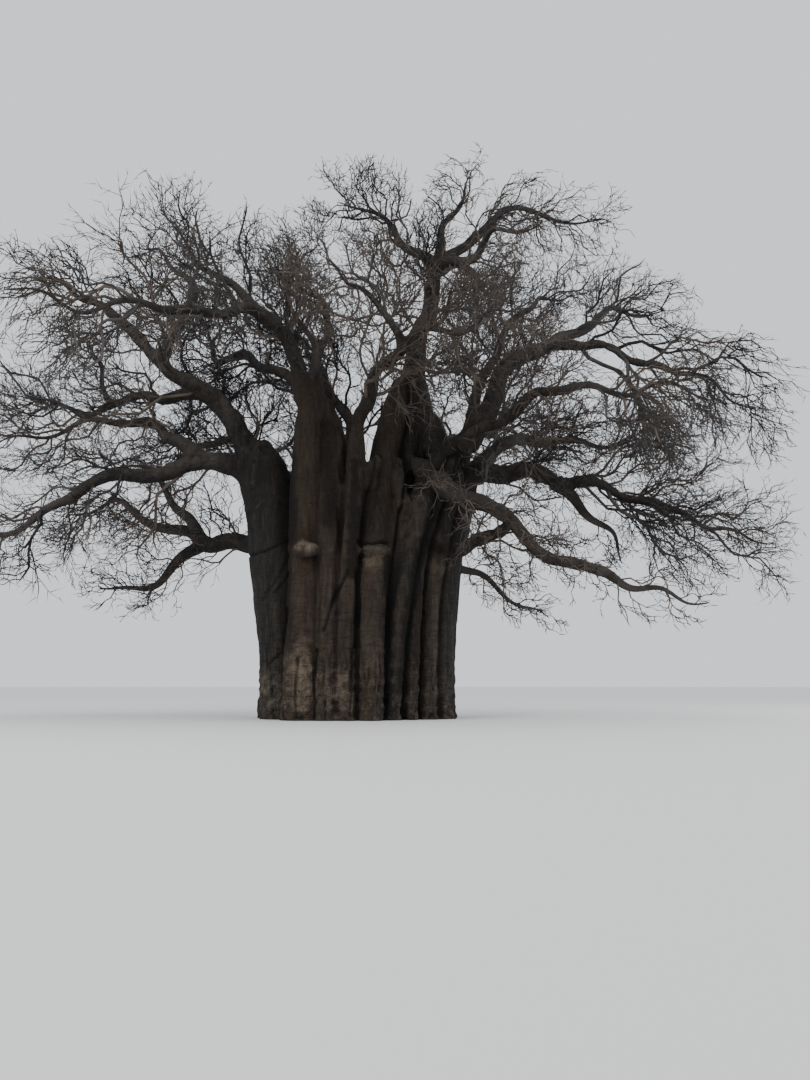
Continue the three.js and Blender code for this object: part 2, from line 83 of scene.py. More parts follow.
# The trunk's columns, as in the source: the middle first, then from the left one round the front to
# the right and round the back. "radii" are those at the foot, at the waist and at the top, and
# "upright" is the share of its length over which a column holds its first direction. The warm share
# is how brown and how light its bark is, partly its own tone and partly painted light on the lit
# columns and painted shade on the shaded ones, and "furrow" is how deep the furrows beside it are
# and how much painted shade lies in them.
BELOW_GROUND = 0.5  # how far the columns run on before the flat cut
WAIST = 8.0  # height of the waist
FLARE = 0.12  # share by which a column widens at its foot
FLARE_HEIGHT = 0.8
SHOULDER = 0.4  # share by which a column narrows over the last seventh of its length
SWELLING = 0.04  # share by which a column swells and shrinks on its way
SWELLING_WAVES = 1.4  # over its length
COLUMN_CROOK = 0.004  # how far a column wanders, as a share of its length
TOP_REACH = 0.24  # how far down its top's slope tells, as a share of a column's length
COLUMN_ROWS = [
    dict(foot=(0, 0.05), top=(0, 0.1, 9.6), radii=(2.52, 2.6, 2.8), lean=90, warm=0.3, furrow=0.6),
    dict(
        foot=(-2.8, -0.95), top=(-4.25, -0.9, 10.6), radii=(0.78, 1.05, 0.95), lean=60, warm=0.05, furrow=1.0
    ),
    dict(
        foot=(-1.9, -2.3), top=(-1.75, -1.95, 12.6), radii=(0.66, 0.6, 0.58), lean=88, warm=0.9, furrow=0.6
    ),
    dict(
        foot=(-0.96, -2.7), top=(-0.95, -2.0, 11.6), radii=(0.4, 0.48, 0.52), lean=86, warm=0.75, furrow=0.3
    ),
    dict(
        foot=(-0.26, -2.75), top=(0.1, -2.45, 11.6), radii=(0.42, 0.32, 0.34), lean=84, upright=0.75,
        warm=0.7, furrow=0.6,
    ),
    dict(
        foot=(0.6, -2.75), top=(1.7, -0.7, 13.4), radii=(0.4, 0.6, 0.46), lean=82, upright=0.75,
        warm=0.6, furrow=1.0,
    ),
    dict(foot=(1.2, -1.5), top=(2.3, -0.2, 14.2), radii=(0.7, 0.8, 0.5), lean=84, warm=0.3, furrow=0.7),
    dict(foot=(1.38, -2.36), top=(4.0, -1.4, 10.6), radii=(0.32, 0.6, 0.64), lean=50, warm=0.35, furrow=1.0),
    dict(foot=(2.0, -1.98), top=(3.6, -1.7, 9.6), radii=(0.3, 0.38, 0.5), lean=56, warm=0.3, furrow=1.0),
    dict(foot=(2.7, -1.45), top=(4.0, -1.0, 9.6), radii=(0.38, 0.46, 0.55), lean=62, warm=0.3, furrow=0.8),
    dict(foot=(3.1, -0.9), top=(4.4, -0.2, 9.9), radii=(0.56, 0.72, 0.66), lean=66, warm=0.15, furrow=0.7),
    dict(foot=(3.05, 0.5), top=(4.25, 1.0, 10.2), radii=(0.72, 0.8, 0.68), lean=68, warm=0.2, furrow=0.8),
    dict(foot=(2.4, 1.8), top=(3.2, 2.8, 10.1), radii=(0.76, 0.78, 0.68), lean=70, warm=0.5, furrow=0.9),
    dict(foot=(1.2, 2.55), top=(1.3, 3.4, 10.0), radii=(0.76, 0.78, 0.68), lean=74, warm=0.6, furrow=0.8),
    dict(foot=(-0.2, 2.75), top=(-0.4, 3.4, 10.3), radii=(0.8, 0.8, 0.7), lean=76, warm=0.4, furrow=0.9),
    dict(foot=(-1.6, 2.35), top=(-2.0, 3.2, 10.0), radii=(0.8, 0.8, 0.7), lean=70, warm=0.6, furrow=0.8),
    dict(foot=(-2.5, 1.5), top=(-3.5, 2.2, 10.2), radii=(0.8, 0.84, 0.74), lean=66, warm=0.4, furrow=0.9),
    dict(foot=(-2.9, 0.3), top=(-4.35, 0.5, 10.4), radii=(0.84, 1.02, 0.9), lean=60, warm=0.2, furrow=0.8),
]
FIRST_COLUMN_SEED = 900

# Lumps on the bark, as in the source: the healed stub of a lost limb, and the ledge of an old wound.
BURL_ROWS = [
    dict(at=(-1.75, -2.95, 6.1), size=(0.52, 0.42, 0.27)),
    dict(at=(0.72, -2.75, 6.1), size=(0.62, 0.5, 0.2)),
]

# Bark that has grown across the forks between two columns or a column and a bough.
FORK_ROWS = [
    dict(start=(-1.5, -1.95, 12.2), tip=(-0.8, -2.05, 10.8), radius=(0.35, 0.46)),
    dict(start=(0.75, -2.1, 9.8), tip=(0.45, -2.5, 8.4), radius=(0.18, 0.36)),
    dict(start=(2.3, -0.4, 13.6), tip=(3.1, -0.9, 9.8), radius=(0.26, 0.62)),
    dict(start=(1.7, -1.0, 9.9), tip=(3.0, -2.1, 9.0), radius=(0.3, 0.44)),
    dict(start=(1.45, -1.5, 9.9), tip=(1.75, -1.9, 7.6), radius=(0.34, 0.4)),
]

# Boughs, as in the source: where each starts, or which bough carries it and at what share of that
# one's length, its tip, its slope at both ends in degrees above level, and its radius at both ends.
BOUGH_ROWS = {
    "left_middle": dict(start=(-3.9, -0.9, 9.5), tip=(-10.6, -2.2, 8.1), rise=(6, -40), radius=(0.5, 0.22)),
    "left_low": dict(start=(-3.3, 0.4, 7.0), tip=(-6.7, 2.0, 7.1), rise=(-5, 12), radius=(0.5, 0.34)),
    "left_fork": dict(
        carrier="left_middle", at=0.3, tip=(-9.8, 1.4, 12.0), rise=(48, 5), radius=(0.34, 0.19)
    ),
    "left_rise": dict(start=(-3.9, -0.9, 9.8), tip=(-9.3, -2.2, 15.2), rise=(64, 44), radius=(0.54, 0.22)),
    "left_long": dict(
        carrier="left_rise", at=0.3, tip=(-11.2, 3.6, 13.4), rise=(34, -2), radius=(0.36, 0.18)
    ),
    "left_top": dict(
        carrier="left_rise", at=0.66, tip=(-6.6, -0.4, 17.0), rise=(76, 62), radius=(0.26, 0.17)
    ),
    "arch_rise": dict(start=(-2.0, -2.1, 11.7), tip=(-2.9, -4.0, 14.3), rise=(85, 15), radius=(0.4, 0.29)),
    "arch_run": dict(carrier="arch_rise", at=1, tip=(-5.8, -7.6, 13.3), rise=(12, -16), radius=(0.26, 0.16)),
    "shelf": dict(start=(-2.0, -1.6, 11.6), tip=(-6.2, 2.6, 15.0), rise=(66, -8), radius=(0.3, 0.16)),
    "crooked": dict(start=(-1.5, -1.9, 11.7), tip=(-1.4, 0.8, 16.4), rise=(88, 62), radius=(0.32, 0.16)),
    "front_up": dict(start=(0.05, -2.5, 10.9), tip=(1.8, -5.0, 13.0), rise=(70, 15), radius=(0.38, 0.2)),
    "back_left_up": dict(start=(-0.4, 3.3, 9.6), tip=(-2.4, 5.4, 16.2), rise=(84, 42), radius=(0.44, 0.18)),
    "centre": dict(start=(2.0, -0.4, 13.0), tip=(3.2, 0.4, 18.5), rise=(80, 82), radius=(0.56, 0.3)),
    "right_rise": dict(start=(4.1, -1.4, 10.0), tip=(7.9, -1.0, 14.6), rise=(66, 6), radius=(0.54, 0.3)),
    "right_spread": dict(
        carrier="right_rise", at=1, tip=(11.2, -2.8, 13.1), rise=(0, -22), radius=(0.26, 0.16)
    ),
    "right_up": dict(start=(4.1, 0.9, 9.7), tip=(7.0, 3.4, 17.6), rise=(80, 44), radius=(0.38, 0.16)),
    "front_right": dict(start=(3.9, -1.6, 9.9), tip=(7.4, -5.8, 11.2), rise=(38, -8), radius=(0.34, 0.17)),
    "right_low": dict(start=(4.2, -0.3, 9.4), tip=(8.0, -0.2, 9.1), rise=(14, -26), radius=(0.52, 0.34)),
    "right_low_out": dict(
        carrier="right_low", at=1, tip=(12.4, 0.1, 8.1), rise=(2, -20), radius=(0.28, 0.17)
    ),
    "right_front": dict(start=(2.9, -2.1, 9.0), tip=(8.2, -6.4, 4.9), rise=(-30, -16), radius=(0.42, 0.2)),
    "right_hook": dict(start=(3.7, -0.9, 6.2), tip=(5.8, -3.4, 7.0), rise=(20, 14), radius=(0.3, 0.22)),
    "right_back": dict(start=(4.0, 1.2, 9.5), tip=(9.4, 5.0, 12.2), rise=(44, 2), radius=(0.46, 0.18)),
    "back_left": dict(start=(-3.2, 2.1, 9.4), tip=(-7.8, 8.2, 12.8), rise=(52, 4), radius=(0.46, 0.18)),
    "back_middle": dict(start=(-1.9, 3.0, 9.3), tip=(-2.6, 9.6, 12.0), rise=(55, 0), radius=(0.44, 0.18)),
    "back_right": dict(start=(3.0, 2.6, 9.4), tip=(6.0, 8.8, 13.4), rise=(62, 8), radius=(0.48, 0.18)),
}

# Masses of twigs, as in the source: each has a stem, "spread" is how far the first twigs stand out from
# it, and "pull" bends them as they grow. A mass with neither a start nor a carrier stands at the tip of
# the bough of its own name.
MASS_ROWS = {
    "left_middle": dict(tip=(-15.6, -3.4, 6.4), rise=(-38, 4), spread=2.8, pull=(-0.4, 0, 0)),
    "left_low": dict(tip=(-13.6, 5.6, 8.9), rise=(34, -8), spread=2.6, pull=(-0.4, 0.2, 0)),
    "left_low_up": dict(
        carrier="left_low", tip=(-11.0, 4.6, 11.0), rise=(52, 8), spread=2.2, pull=(-0.2, 0.1, 0.3)
    ),
    "left_low_drop": dict(
        carrier="left_low", tip=(-10.6, 1.4, 5.2), rise=(-48, 26), spread=1.8, pull=(-0.3, 0, 0.1)
    ),
    "left_fork": dict(tip=(-15.2, 0.8, 10.7), rise=(5, -24), spread=2.9, pull=(-0.5, 0, -0.3)),
    "left_long": dict(tip=(-16.2, 4.8, 13.6), rise=(-12, 4), spread=2.8, pull=(-0.3, 0.1, 0.3)),
    "left_long_up": dict(
        carrier="left_long", tip=(-12.6, 4.2, 16.8), rise=(72, 50), spread=2.6, pull=(-0.3, 0.1, 0.2)
    ),
    "left_rise": dict(tip=(-12.0, -3.6, 16.2), rise=(40, 0), spread=2.2, pull=(-0.3, -0.1, 0)),
    "left_top": dict(tip=(-9.4, 0.6, 19.4), rise=(66, 18), spread=2.8, pull=(-0.2, 0, 0.4)),
    "arch": dict(
        carrier="arch_run", tip=(-9.6, -11.4, 12.4), rise=(-12, -6), spread=3.0, pull=(-0.2, -0.3, 0.1)
    ),
    "arch_up": dict(
        carrier="arch_rise", tip=(-6.2, -6.2, 17.0), rise=(34, 52), spread=2.6, pull=(-0.2, -0.1, 0.4)
    ),
    "shelf": dict(tip=(-7.6, 5.2, 18.6), rise=(10, 66), spread=3.0, pull=(-0.1, 0.1, 0.4)),
    "leader": dict(
        start=(-1.8, -2.0, 11.9), tip=(-2.6, -1.6, 18.8), rise=(88, 84), spread=2.4, pull=(0, 0, 0.5)
    ),
    "crooked": dict(tip=(-3.6, 2.6, 19.6), rise=(66, 40), spread=2.8, pull=(0, 0.1, 0.5)),
    "front": dict(carrier="front_up", tip=(5.6, -8.8, 12.8), rise=(20, -6), spread=2.8, pull=(0.2, -0.3, 0)),
    "front_left": dict(
        carrier="front_up", tip=(-0.6, -9.6, 14.2), rise=(50, 6), spread=2.8, pull=(-0.1, -0.3, 0.1)
    ),
    "back_left_up": dict(tip=(-4.4, 9.0, 18.8), rise=(40, 30), spread=3.0, pull=(0, 0.2, 0.4)),
    "top_left": dict(
        carrier="centre", tip=(-1.0, 0.6, 21.4), rise=(44, 12), spread=2.6, pull=(-0.3, 0, 0.4)
    ),
    "top_middle": dict(
        carrier="centre", tip=(4.6, -0.2, 22.2), rise=(82, 56), spread=2.4, pull=(0.2, 0, 0.4)
    ),
    "top_right": dict(
        carrier="centre", tip=(10.6, 1.4, 21.0), rise=(62, -6), spread=2.5, pull=(0.5, 0, 0.1)
    ),
    "top_front": dict(
        carrier="centre", tip=(6.8, -5.2, 17.6), rise=(4, -6), spread=2.7, pull=(0.2, -0.3, 0.2)
    ),
    "top_back": dict(
        carrier="centre", tip=(6.2, 7.0, 19.8), rise=(30, 10), spread=3.0, pull=(0.1, 0.3, 0.3)
    ),
    "right_rise": dict(tip=(12.8, 1.4, 16.9), rise=(44, 10), spread=2.8, pull=(0.5, 0, 0.1)),
    "right_spread": dict(tip=(14.6, -3.8, 11.0), rise=(-14, -36), spread=2.5, pull=(0.3, 0, -0.5)),
    "right_up": dict(tip=(9.8, 5.4, 19.2), rise=(42, 10), spread=2.8, pull=(0.3, 0.1, 0.3)),
    "front_right": dict(tip=(11.4, -8.8, 9.9), rise=(-4, -28), spread=2.8, pull=(0.3, -0.3, -0.3)),
    "right_low": dict(
        carrier="right_low_out", tip=(16.6, 0.4, 6.8), rise=(-20, -6), spread=2.8, pull=(0.5, 0, -0.3)
    ),
    "right_low_drop": dict(
        carrier="right_low", tip=(10.5, 0.6, 6.0), rise=(-42, -80), spread=1.8, pull=(0.3, 0, -0.1)
    ),
    "right_front": dict(tip=(11.4, -7.4, 3.8), rise=(-22, 0), spread=1.9, pull=(0.3, -0.1, 0.2)),
    "right_lowest": dict(
        start=(3.5, 0.4, 6.1), tip=(7.9, 2.8, 4.0), rise=(-14, -18), spread=1.6, pull=(0.3, 0.1, 0)
    ),
    "right_back": dict(tip=(14.2, 7.4, 12.6), rise=(0, 2), spread=3.2, pull=(0.4, 0.2, 0)),
    "back_left": dict(tip=(-11.0, 12.2, 13.0), rise=(0, 4), spread=3.4, pull=(-0.2, 0.3, 0.1)),
    "back_middle": dict(tip=(-3.0, 14.6, 12.2), rise=(-2, 2), spread=3.4, pull=(0, 0.4, 0.1)),
    "back_right": dict(tip=(8.4, 13.4, 14.2), rise=(8, 6), spread=3.4, pull=(0.2, 0.3, 0.1)),
}
# What grows between the source's own twigs, where it isn't like them: how far it reaches and how
# many there are against them, its pull, and the length, number and pull of the side branches.
# "side_of" is a bough with side branches that carries no mass.
ADDED_ROWS = {
    "arch": dict(reach=1.1, pull=(-0.2, 0, -0.9), side_rate=2, side_pull=(0.1, 0, 0.9)),
    "arch_up": dict(reach=1.25, rate=1.5, pull=(0.3, 0, 0.5), side_rate=3, side_pull=(0, 0, 0.8)),
    "shelf": dict(reach=1.15, rate=1.4, pull=(-0.1, 0, 0.4)),
    "crooked": dict(reach=1.35, rate=1.4, pull=(-0.7, 0, 0.2)),
    "leader": dict(reach=1.15, pull=(-0.7, 0, 0.2)),
    "front": dict(side_rate=3, side_pull=(0.9, -0.1, -0.1)),
    "left_rise": dict(reach=1.0, rate=1.4, pull=(-0.5, 0, -0.5)),
    "left_long": dict(reach=1.5, rate=1.6, pull=(-0.5, 0, 0.9)),
    "left_long_up": dict(reach=1.2, rate=0.4, pull=(-1.0, 0, 0.2)),
    "left_fork": dict(reach=1.5, rate=1.2, pull=(-0.3, 0, 0.8)),
    "left_low": dict(reach=1.1, sides=0.8, side_rate=3, side_pull=(-0.2, 0, 0.9)),
    "left_middle": dict(reach=1.25, rate=1.2, pull=(-0.4, 0, 0.3), side_rate=1.9, side_pull=(0.2, 0, -0.8)),
    "left_low_drop": dict(reach=1.1, rate=1.6, pull=(-0.4, 0, 0.8)),
    "left_top": dict(reach=0.75, pull=(-0.2, 0, -0.2)),
    "top_left": dict(reach=1.2, rate=2.4, pull=(0.6, 0, 0.3), side_rate=2.6, side_pull=(-0.3, 0, 0.8)),
    "top_middle": dict(reach=0.95, rate=2.2, pull=(-1.3, 0, -0.8)),
    "top_front": dict(reach=0.9, rate=0.6),
    "top_back": dict(rate=0.6),
    "top_right": dict(rate=1.8, pull=(0.3, 0, -0.7)),
    "right_rise": dict(side_rate=1.8, side_pull=(-0.2, -0.3, 0.6)),
    "right_up": dict(reach=1.3, rate=2.1, pull=(-0.1, 0, 0.9), side_rate=2, side_pull=(-0.4, 0, 0.6)),
    "right_spread": dict(
        reach=1.6, rate=0.8, pull=(0.5, 0, -1.3), sides=1.2, side_rate=1.5, side_pull=(-0.1, 0, -0.8)
    ),
    "right_low": dict(
        reach=1.4, rate=1.4, pull=(0.5, 0, 0.1), sides=1.1, side_rate=3, side_pull=(0.5, 0, 0.3)
    ),
    "front_right": dict(reach=0.95, rate=0.5, sides=0.8, side_rate=2, side_pull=(0.3, 0.1, 0.7)),
    "right_front": dict(reach=0.75, sides=0.6, side_rate=2, side_pull=(-0.6, -0.3, 0.1)),
    "right_low_drop": dict(reach=0.6, side_rate=2, side_pull=(0.2, 0, 0.9)),
    "right_back": dict(rate=0.4),
    "right_lowest": dict(side_of="right_hook", sides=0.8, side_rate=1.6, side_pull=(0.3, -0.1, -0.8)),
    "back_left": dict(side_rate=2.0, side_pull=(0.2, 0, 0.9)),
    "back_left_up": dict(side_rate=1.8, side_pull=(-0.4, 0, 0.6)),
}
# The masses that stand out before the trunk, in the sun: as painted sunlight, their twigs take only
# the grey and brown materials, never the dark one.
FRONT_MASSES = ("front", "front_left", "front_right", "right_front", "arch", "top_front")
STEM_RADIUS_SHARE = 0.82  # of the radius of the bough that carries the stem
FREE_STEM_RADIUS = 0.19  # of a stem that starts on the trunk
STEM_TIP_RADIUS = 0.022
STEM_SINK = 0.6  # how deep a stem starts inside its carrier's tip, as a share of the radius there
BOUGH_CROOK = 0.035  # sideways wander, as a share of length
STEM_CROOK = 0.05
SWAYS = (1.1, 1.6)  # how often a limb wanders over its length, level and upright
TAPER = 1.15  # above 1 a limb is slimmer half way than an even taper
BOUGH_SEED = 17
MASS_SEED = 29

# The levels of twigs. "count" is the source's own number on each twig, and "rate" is how many grow
# between them on each metre.
TWIG_LEVELS = [
    dict(count=7, rate=1.7, first=0.1, last=1.0, lean=48, share=1.0, crook=0.07, sides=6, steps=8),
    dict(count=2, rate=2.0, first=0.3, last=0.95, lean=42, share=0.6, crook=0.07, sides=4, steps=4),
    dict(
        count=0, rate=2.6, first=0.15, last=1.0, lean=40, share=0.6, bend=0.4, crook=0.055, sides=3, steps=2
    ),
    dict(
        count=0, rate=1.8, first=0.25, last=1.0, lean=40, share=0.5, bend=0.3, crook=0.04, sides=3, steps=1
    ),
]
MORE_SHARE = 1.05  # length of the added twigs against the source's own
LENGTH_AT_FOOT = 1.15  # of a twig at its parent's foot, against the rule's own length
LENGTH_LOSS = 0.5  # from the parent's foot to its tip
SIDE_RULE = dict(count=0, rate=1.2, first=0.04, last=1.0, lean=46, crook=0.06)
SIDE_LENGTH = 3.6
SIDE_PULL = 0.6  # how far they bend outwards
TWIG_SLIMNESS = 0.017
TWIG_MOST_OF_PARENT = 0.62
TWIG_LEAST = 0.016  # thinnest root of a twig
TWIG_END = 0.55  # radius of a twig's end against its root
TWIG_GAP = 0.06  # free space kept round every twig
SPACE_STARTS = 0.3  # share of its length from which a twig keeps to its mass's own space
REACH_AT_FOOT = 1.2  # of a mass at the foot of its stem, against its spread
REACH_LOSS = 0.55  # from the stem's foot to its tip
EARLY_TESTS = (0.0, 0.15, 0.3, 0.5, 0.75, 1.0)  # shares of its length at which a twig is tested
LATE_TESTS = (0.5, 1.0)


def chance(seed, draw):
    """A repeatable number from 0 to 1 for each seed, the same as in the source."""
    mixed = np.asarray(seed, np.uint64) ^ np.asarray((draw + 1) * DRAW_STEP & MASK, np.uint64)
    mixed = mixed * np.uint64(FIRST_MIX) & np.uint64(MASK)
    mixed ^= mixed >> np.uint64(13)
    mixed = mixed * np.uint64(SECOND_MIX) & np.uint64(MASK)
    mixed ^= mixed >> np.uint64(16)
    return mixed / WORD


def child_seed(seed, index):
    return np.floor(chance(seed, 100 + index) * WORD).astype(np.uint64)


def unit(vectors):
    return vectors / np.linalg.norm(vectors, axis=-1, keepdims=True)


def slope(reach, degrees):
    """The direction that climbs at so many degrees over the level direction of each reach."""
    level = unit(reach * (1, 1, 0))
    angle = math.radians(degrees)
    return level * math.cos(angle) + UP * math.sin(angle)


def across(direction):
    """A direction square to each given one, level where that is possible."""
    side = np.cross(direction, UP)
    side[np.linalg.norm(side, axis=-1) < 0.05] = (1, 0, 0)
    return unit(side)


class Limbs:
    """Tapering, bent limbs. Every array has one row for each limb."""

    ARRAYS = ("span", "side", "rise", "sway", "seed", "spray")
    LISTS_OF_ARRAYS = ("bend", "phases", "radii")

    def __init__(self, start, leaving, tip, arriving, radii, seed, crook, spray=None):
        chord = tip - start
        self.span = np.linalg.norm(chord, axis=-1)
        third = self.span[:, None] / 3
        self.bend = [start, start + leaving * third, tip - arriving * third, tip]
        self.side = across(unit(chord))
        self.rise = unit(np.cross(self.side, chord))
        self.sway = crook * self.span
        self.phases = [chance(seed, 11), chance(seed, 12)]
        self.radii = radii
        self.seed = seed
        self.spray = chance(seed, 20) if spray is None else spray

    def point(self, t):
        """The place at a share of each limb's length. t is one number or one for each limb."""
        t = np.broadcast_to(t, self.span.shape)[:, None]
        a, b, c, d = self.bend
        place = a * (1 - t) ** 3 + b * 3 * t * (1 - t) ** 2 + c * 3 * t**2 * (1 - t) + d * t**3
        size = (4 * t * (1 - t)) * self.sway[:, None]
        turns = [often * t + phase[:, None] for often, phase in zip(SWAYS, self.phases)]
        level, upright = [np.sin(2 * math.pi * turn) for turn in turns]
        return place + size * (self.side * level + self.rise * upright)

    def direction(self, t):
        before = self.point(np.maximum(0, np.asarray(t) - 0.01))
        return unit(self.point(np.minimum(1, np.asarray(t) + 0.01)) - before)

    def radius(self, t):
        root, end = self.radii
        return end + (root - end) * (1 - np.asarray(t)) ** TAPER

    def take(self, keep):
        """Only the limbs that are kept."""
        kept = object.__new__(Limbs)
        for name in self.ARRAYS:
            setattr(kept, name, getattr(self, name)[keep])
        for name in self.LISTS_OF_ARRAYS:
            setattr(kept, name, [array[keep] for array in getattr(self, name)])
        return kept

    @staticmethod
    def joined(groups):
        """Several sets of limbs as one set."""
        whole = object.__new__(Limbs)
        for name in Limbs.ARRAYS:
            setattr(whole, name, np.concatenate([getattr(group, name) for group in groups]))
        for name in Limbs.LISTS_OF_ARRAYS:
            arrays = zip(*(getattr(group, name) for group in groups))
            setattr(whole, name, [np.concatenate(each) for each in arrays])
        return whole


def one_limb(start, leaving, tip, arriving, radii, seed, crook):
    rows = [np.array([value], float) for value in (start, leaving, tip, arriving)]
    seed = np.array([seed], np.uint64)
    return Limbs(*rows, [np.array([float(radius)]) for radius in radii], seed, crook)


def table_limbs(rows, carriers, first_seed, crook):
    """The limbs of a table, each starting on the trunk, on a carrier or on a limb made before it."""
    made = {}
    for i, (name, row) in enumerate(rows.items()):
        tip = np.array(row["tip"], float)
        if "start" in row:
            start = np.array(row["start"], float)
            stem_root = FREE_STEM_RADIUS
        else:
            carrier = {**made, **carriers}[row.get("carrier", name)]
            at = row.get("at", 1)
            start = carrier.point(at)[0]
            if at == 1:
                start = start - STEM_SINK * carrier.radius(1)[0] * carrier.direction(1)[0]
            stem_root = STEM_RADIUS_SHARE * carrier.radius(1)[0]
        radii = row.get("radius", (stem_root, STEM_TIP_RADIUS))
        leaving, arriving = (slope(tip - start, degrees) for degrees in row["rise"])
        seed = child_seed(first_seed, i)
        made[name] = one_limb(start, leaving, tip, arriving, radii, seed, crook)
    return made


def tree_boughs():
    return table_limbs(BOUGH_ROWS, {}, BOUGH_SEED, BOUGH_CROOK)


def tree_stems(boughs):
    return table_limbs(MASS_ROWS, boughs, MASS_SEED, STEM_CROOK)


def column_radius(row, seed, z, t):
    """The radius of a column at a height and a share of its length."""
    foot, waist, top = row["radii"]
    low = foot + (waist - foot) * np.maximum(z, 0) / WAIST
    high = waist + (top - waist) * (z - WAIST) / (row["top"][2] - WAIST)
    plain = np.where(z < WAIST, low, high)
    swelling = 1 + SWELLING * np.sin(2 * math.pi * (SWELLING_WAVES * t + chance(seed, 5)))
    flare = 1 + FLARE * np.exp(-np.maximum(z, 0) / FLARE_HEIGHT)
    shoulder = 1 - SHOULDER * np.maximum(0, 7 * t - 6)
    return plain * swelling * flare * shoulder


def column_limb(row, index):
    """A column of the trunk as a limb, upright at its foot and bending out to its shoulder."""
    foot = np.array([*row["foot"], -BELOW_GROUND], float)
    top = np.array(row["top"], float)
    arriving = slope(top, row["lean"])
    seed = FIRST_COLUMN_SEED + index
    made = one_limb(foot, UP, top, arriving, (1, 1), seed, COLUMN_CROOK)
    length = made.span[0]
    made.bend[1] = (foot + UP * length * row.get("upright", 0.5))[None]
    made.bend[2] = (top - arriving * length * TOP_REACH)[None]
    made.radius = lambda t: column_radius(row, seed, made.point(t)[:, 2], np.asarray(t))
    return made


def tree_columns():
    return [column_limb(row, i) for i, row in enumerate(COLUMN_ROWS)]


def course_of(limb, count):
    """The places and the radii of one limb where it is cut into so many stretches."""
    shares = np.linspace(0, 1, count + 1)
    places = np.concatenate([limb.point(t) for t in shares])
    radii = np.concatenate([limb.radius(np.array([t])) for t in shares])
    return places, radii


def to_stretch(points, start, end):
    """How far each point is from a straight stretch, and the share of it that lies nearest."""
    line = end - start
    offset = points - start
    share = np.clip(offset @ line / (line @ line), 0, 1)
    return np.linalg.norm(offset - share[:, None] * line, axis=-1), share


# Meshes


def limb_frames(limbs, shares):
    """Places and square directions along each limb, carried along so that they don't twist."""
    places = []
    frames = []
    normal = across(limbs.direction(shares[0]))
    for t in shares:
        tangent = limbs.direction(t)
        normal = unit(normal - tangent * np.sum(normal * tangent, axis=-1, keepdims=True))
        places.append(limbs.point(t))
        frames.append((normal, np.cross(tangent, normal)))
    return places, frames


def tube(limbs, sides, steps, radius_at=None, pointed=True, end=1.0):
    """Closed tubes along the limbs up to a share of their length: vertices and arrays of faces."""
    shares = np.linspace(0, end, steps + 1)
    places, frames = limb_frames(limbs, shares)
    angles = np.arange(sides) * 2 * math.pi / sides
    count = len(limbs.span)
    rings = []
    for t, place, (normal, binormal) in zip(shares, places, frames):
        radius = limbs.radius(t)[:, None] if radius_at is None else radius_at(t, angles)[None]
        radius = np.broadcast_to(radius, (count, sides))[..., None]
        to_side = normal[:, None] * np.cos(angles)[:, None]
        outward = to_side + binormal[:, None] * np.sin(angles)[:, None]
        rings.append(place[:, None] + radius * outward)
    rings = np.stack(rings[:-1] if pointed else rings, axis=1)
    vertices = rings.reshape(-1, 3)
    index = np.arange(len(vertices)).reshape(rings.shape[:3])
    after = np.roll(index, -1, axis=2)
    corners = [index[:, :-1], after[:, :-1], after[:, 1:], index[:, 1:]]
    faces = [np.stack(corners, axis=-1).reshape(-1, 4), index[:, 0, ::-1].copy()]
    if pointed:
        tips = np.broadcast_to((len(vertices) + np.arange(count))[:, None], (count, sides))
        vertices = np.concatenate([vertices, places[-1]])
        faces.append(np.stack([index[:, -1], after[:, -1], tips], axis=-1).reshape(-1, 3))
    else:
        faces.append(index[:, -1].copy())
    return vertices, faces


def ball(at, size, sides=24, rows=12):
    """A round lump of three given half widths."""
    centre = np.array(at)
    low, high = centre - (0, 0, size[2]), centre + (0, 0, size[2])
    upright = one_limb(low, UP, high, UP, (1, 1), 1, 0)

    def radius_at(t, angles):
        return np.full(len(angles), math.sqrt(max(1e-4, 1 - (2 * t - 1) ** 2)))

    vertices, faces = tube(upright, sides, rows, radius_at, pointed=False)
    return (vertices - centre) * (size[0], size[1], 1) + centre, faces


def merged(parts):
    """Several pairs of vertices and faces as one."""
    vertices = []
    faces = []
    offset = 0
    for part_vertices, part_faces in parts:
        vertices.append(part_vertices)
        faces.extend(face + offset for face in part_faces)
        offset += len(part_vertices)
    return np.concatenate(vertices), faces


def mesh_of(name, vertices, corners, totals):
    """A smooth mesh, from the vertex at each corner in turn and the number of corners of each face."""
    mesh = bpy.data.meshes.new(name)
    starts = np.concatenate([[0], np.cumsum(totals)[:-1]])
    mesh.vertices.add(len(vertices))
    mesh.vertices.foreach_set("co", np.asarray(vertices, np.float32).ravel())
    mesh.loops.add(len(corners))
    mesh.loops.foreach_set("vertex_index", corners.astype(np.int32))
    mesh.polygons.add(len(totals))
    mesh.polygons.foreach_set("loop_start", starts.astype(np.int32))
    mesh.update(calc_edges=True)
    mesh.shade_smooth()
    return mesh


def new_mesh(name, vertices, faces):
    faces = [face for face in faces if len(face)]
    corners = np.concatenate([face.ravel() for face in faces])
    totals = np.concatenate([np.full(len(face), face.shape[1]) for face in faces])
    return mesh_of(name, vertices, corners, totals)


def corners_of(mesh):
    """The vertex at each corner in turn, and the number of corners of each face."""
    corners = np.empty(len(mesh.loops), np.int32)
    mesh.loops.foreach_get("vertex_index", corners)
    totals = np.empty(len(mesh.polygons), np.int32)
    mesh.polygons.foreach_get("loop_total", totals)
    return corners, totals


def new_piece(name, mesh, materials, replaced):
    """Adds a mesh to the scene as a piece on the tree's one body."""
    piece = bpy.data.objects.new(name, mesh)
    bpy.context.scene.collection.objects.link(piece)
    for material in materials:
        mesh.materials.append(material)
    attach(piece, "root")
    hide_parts(*replaced)
    return piece


SEED_SHIFT = 17.3  # how far the noise of one seed lies from the next one's


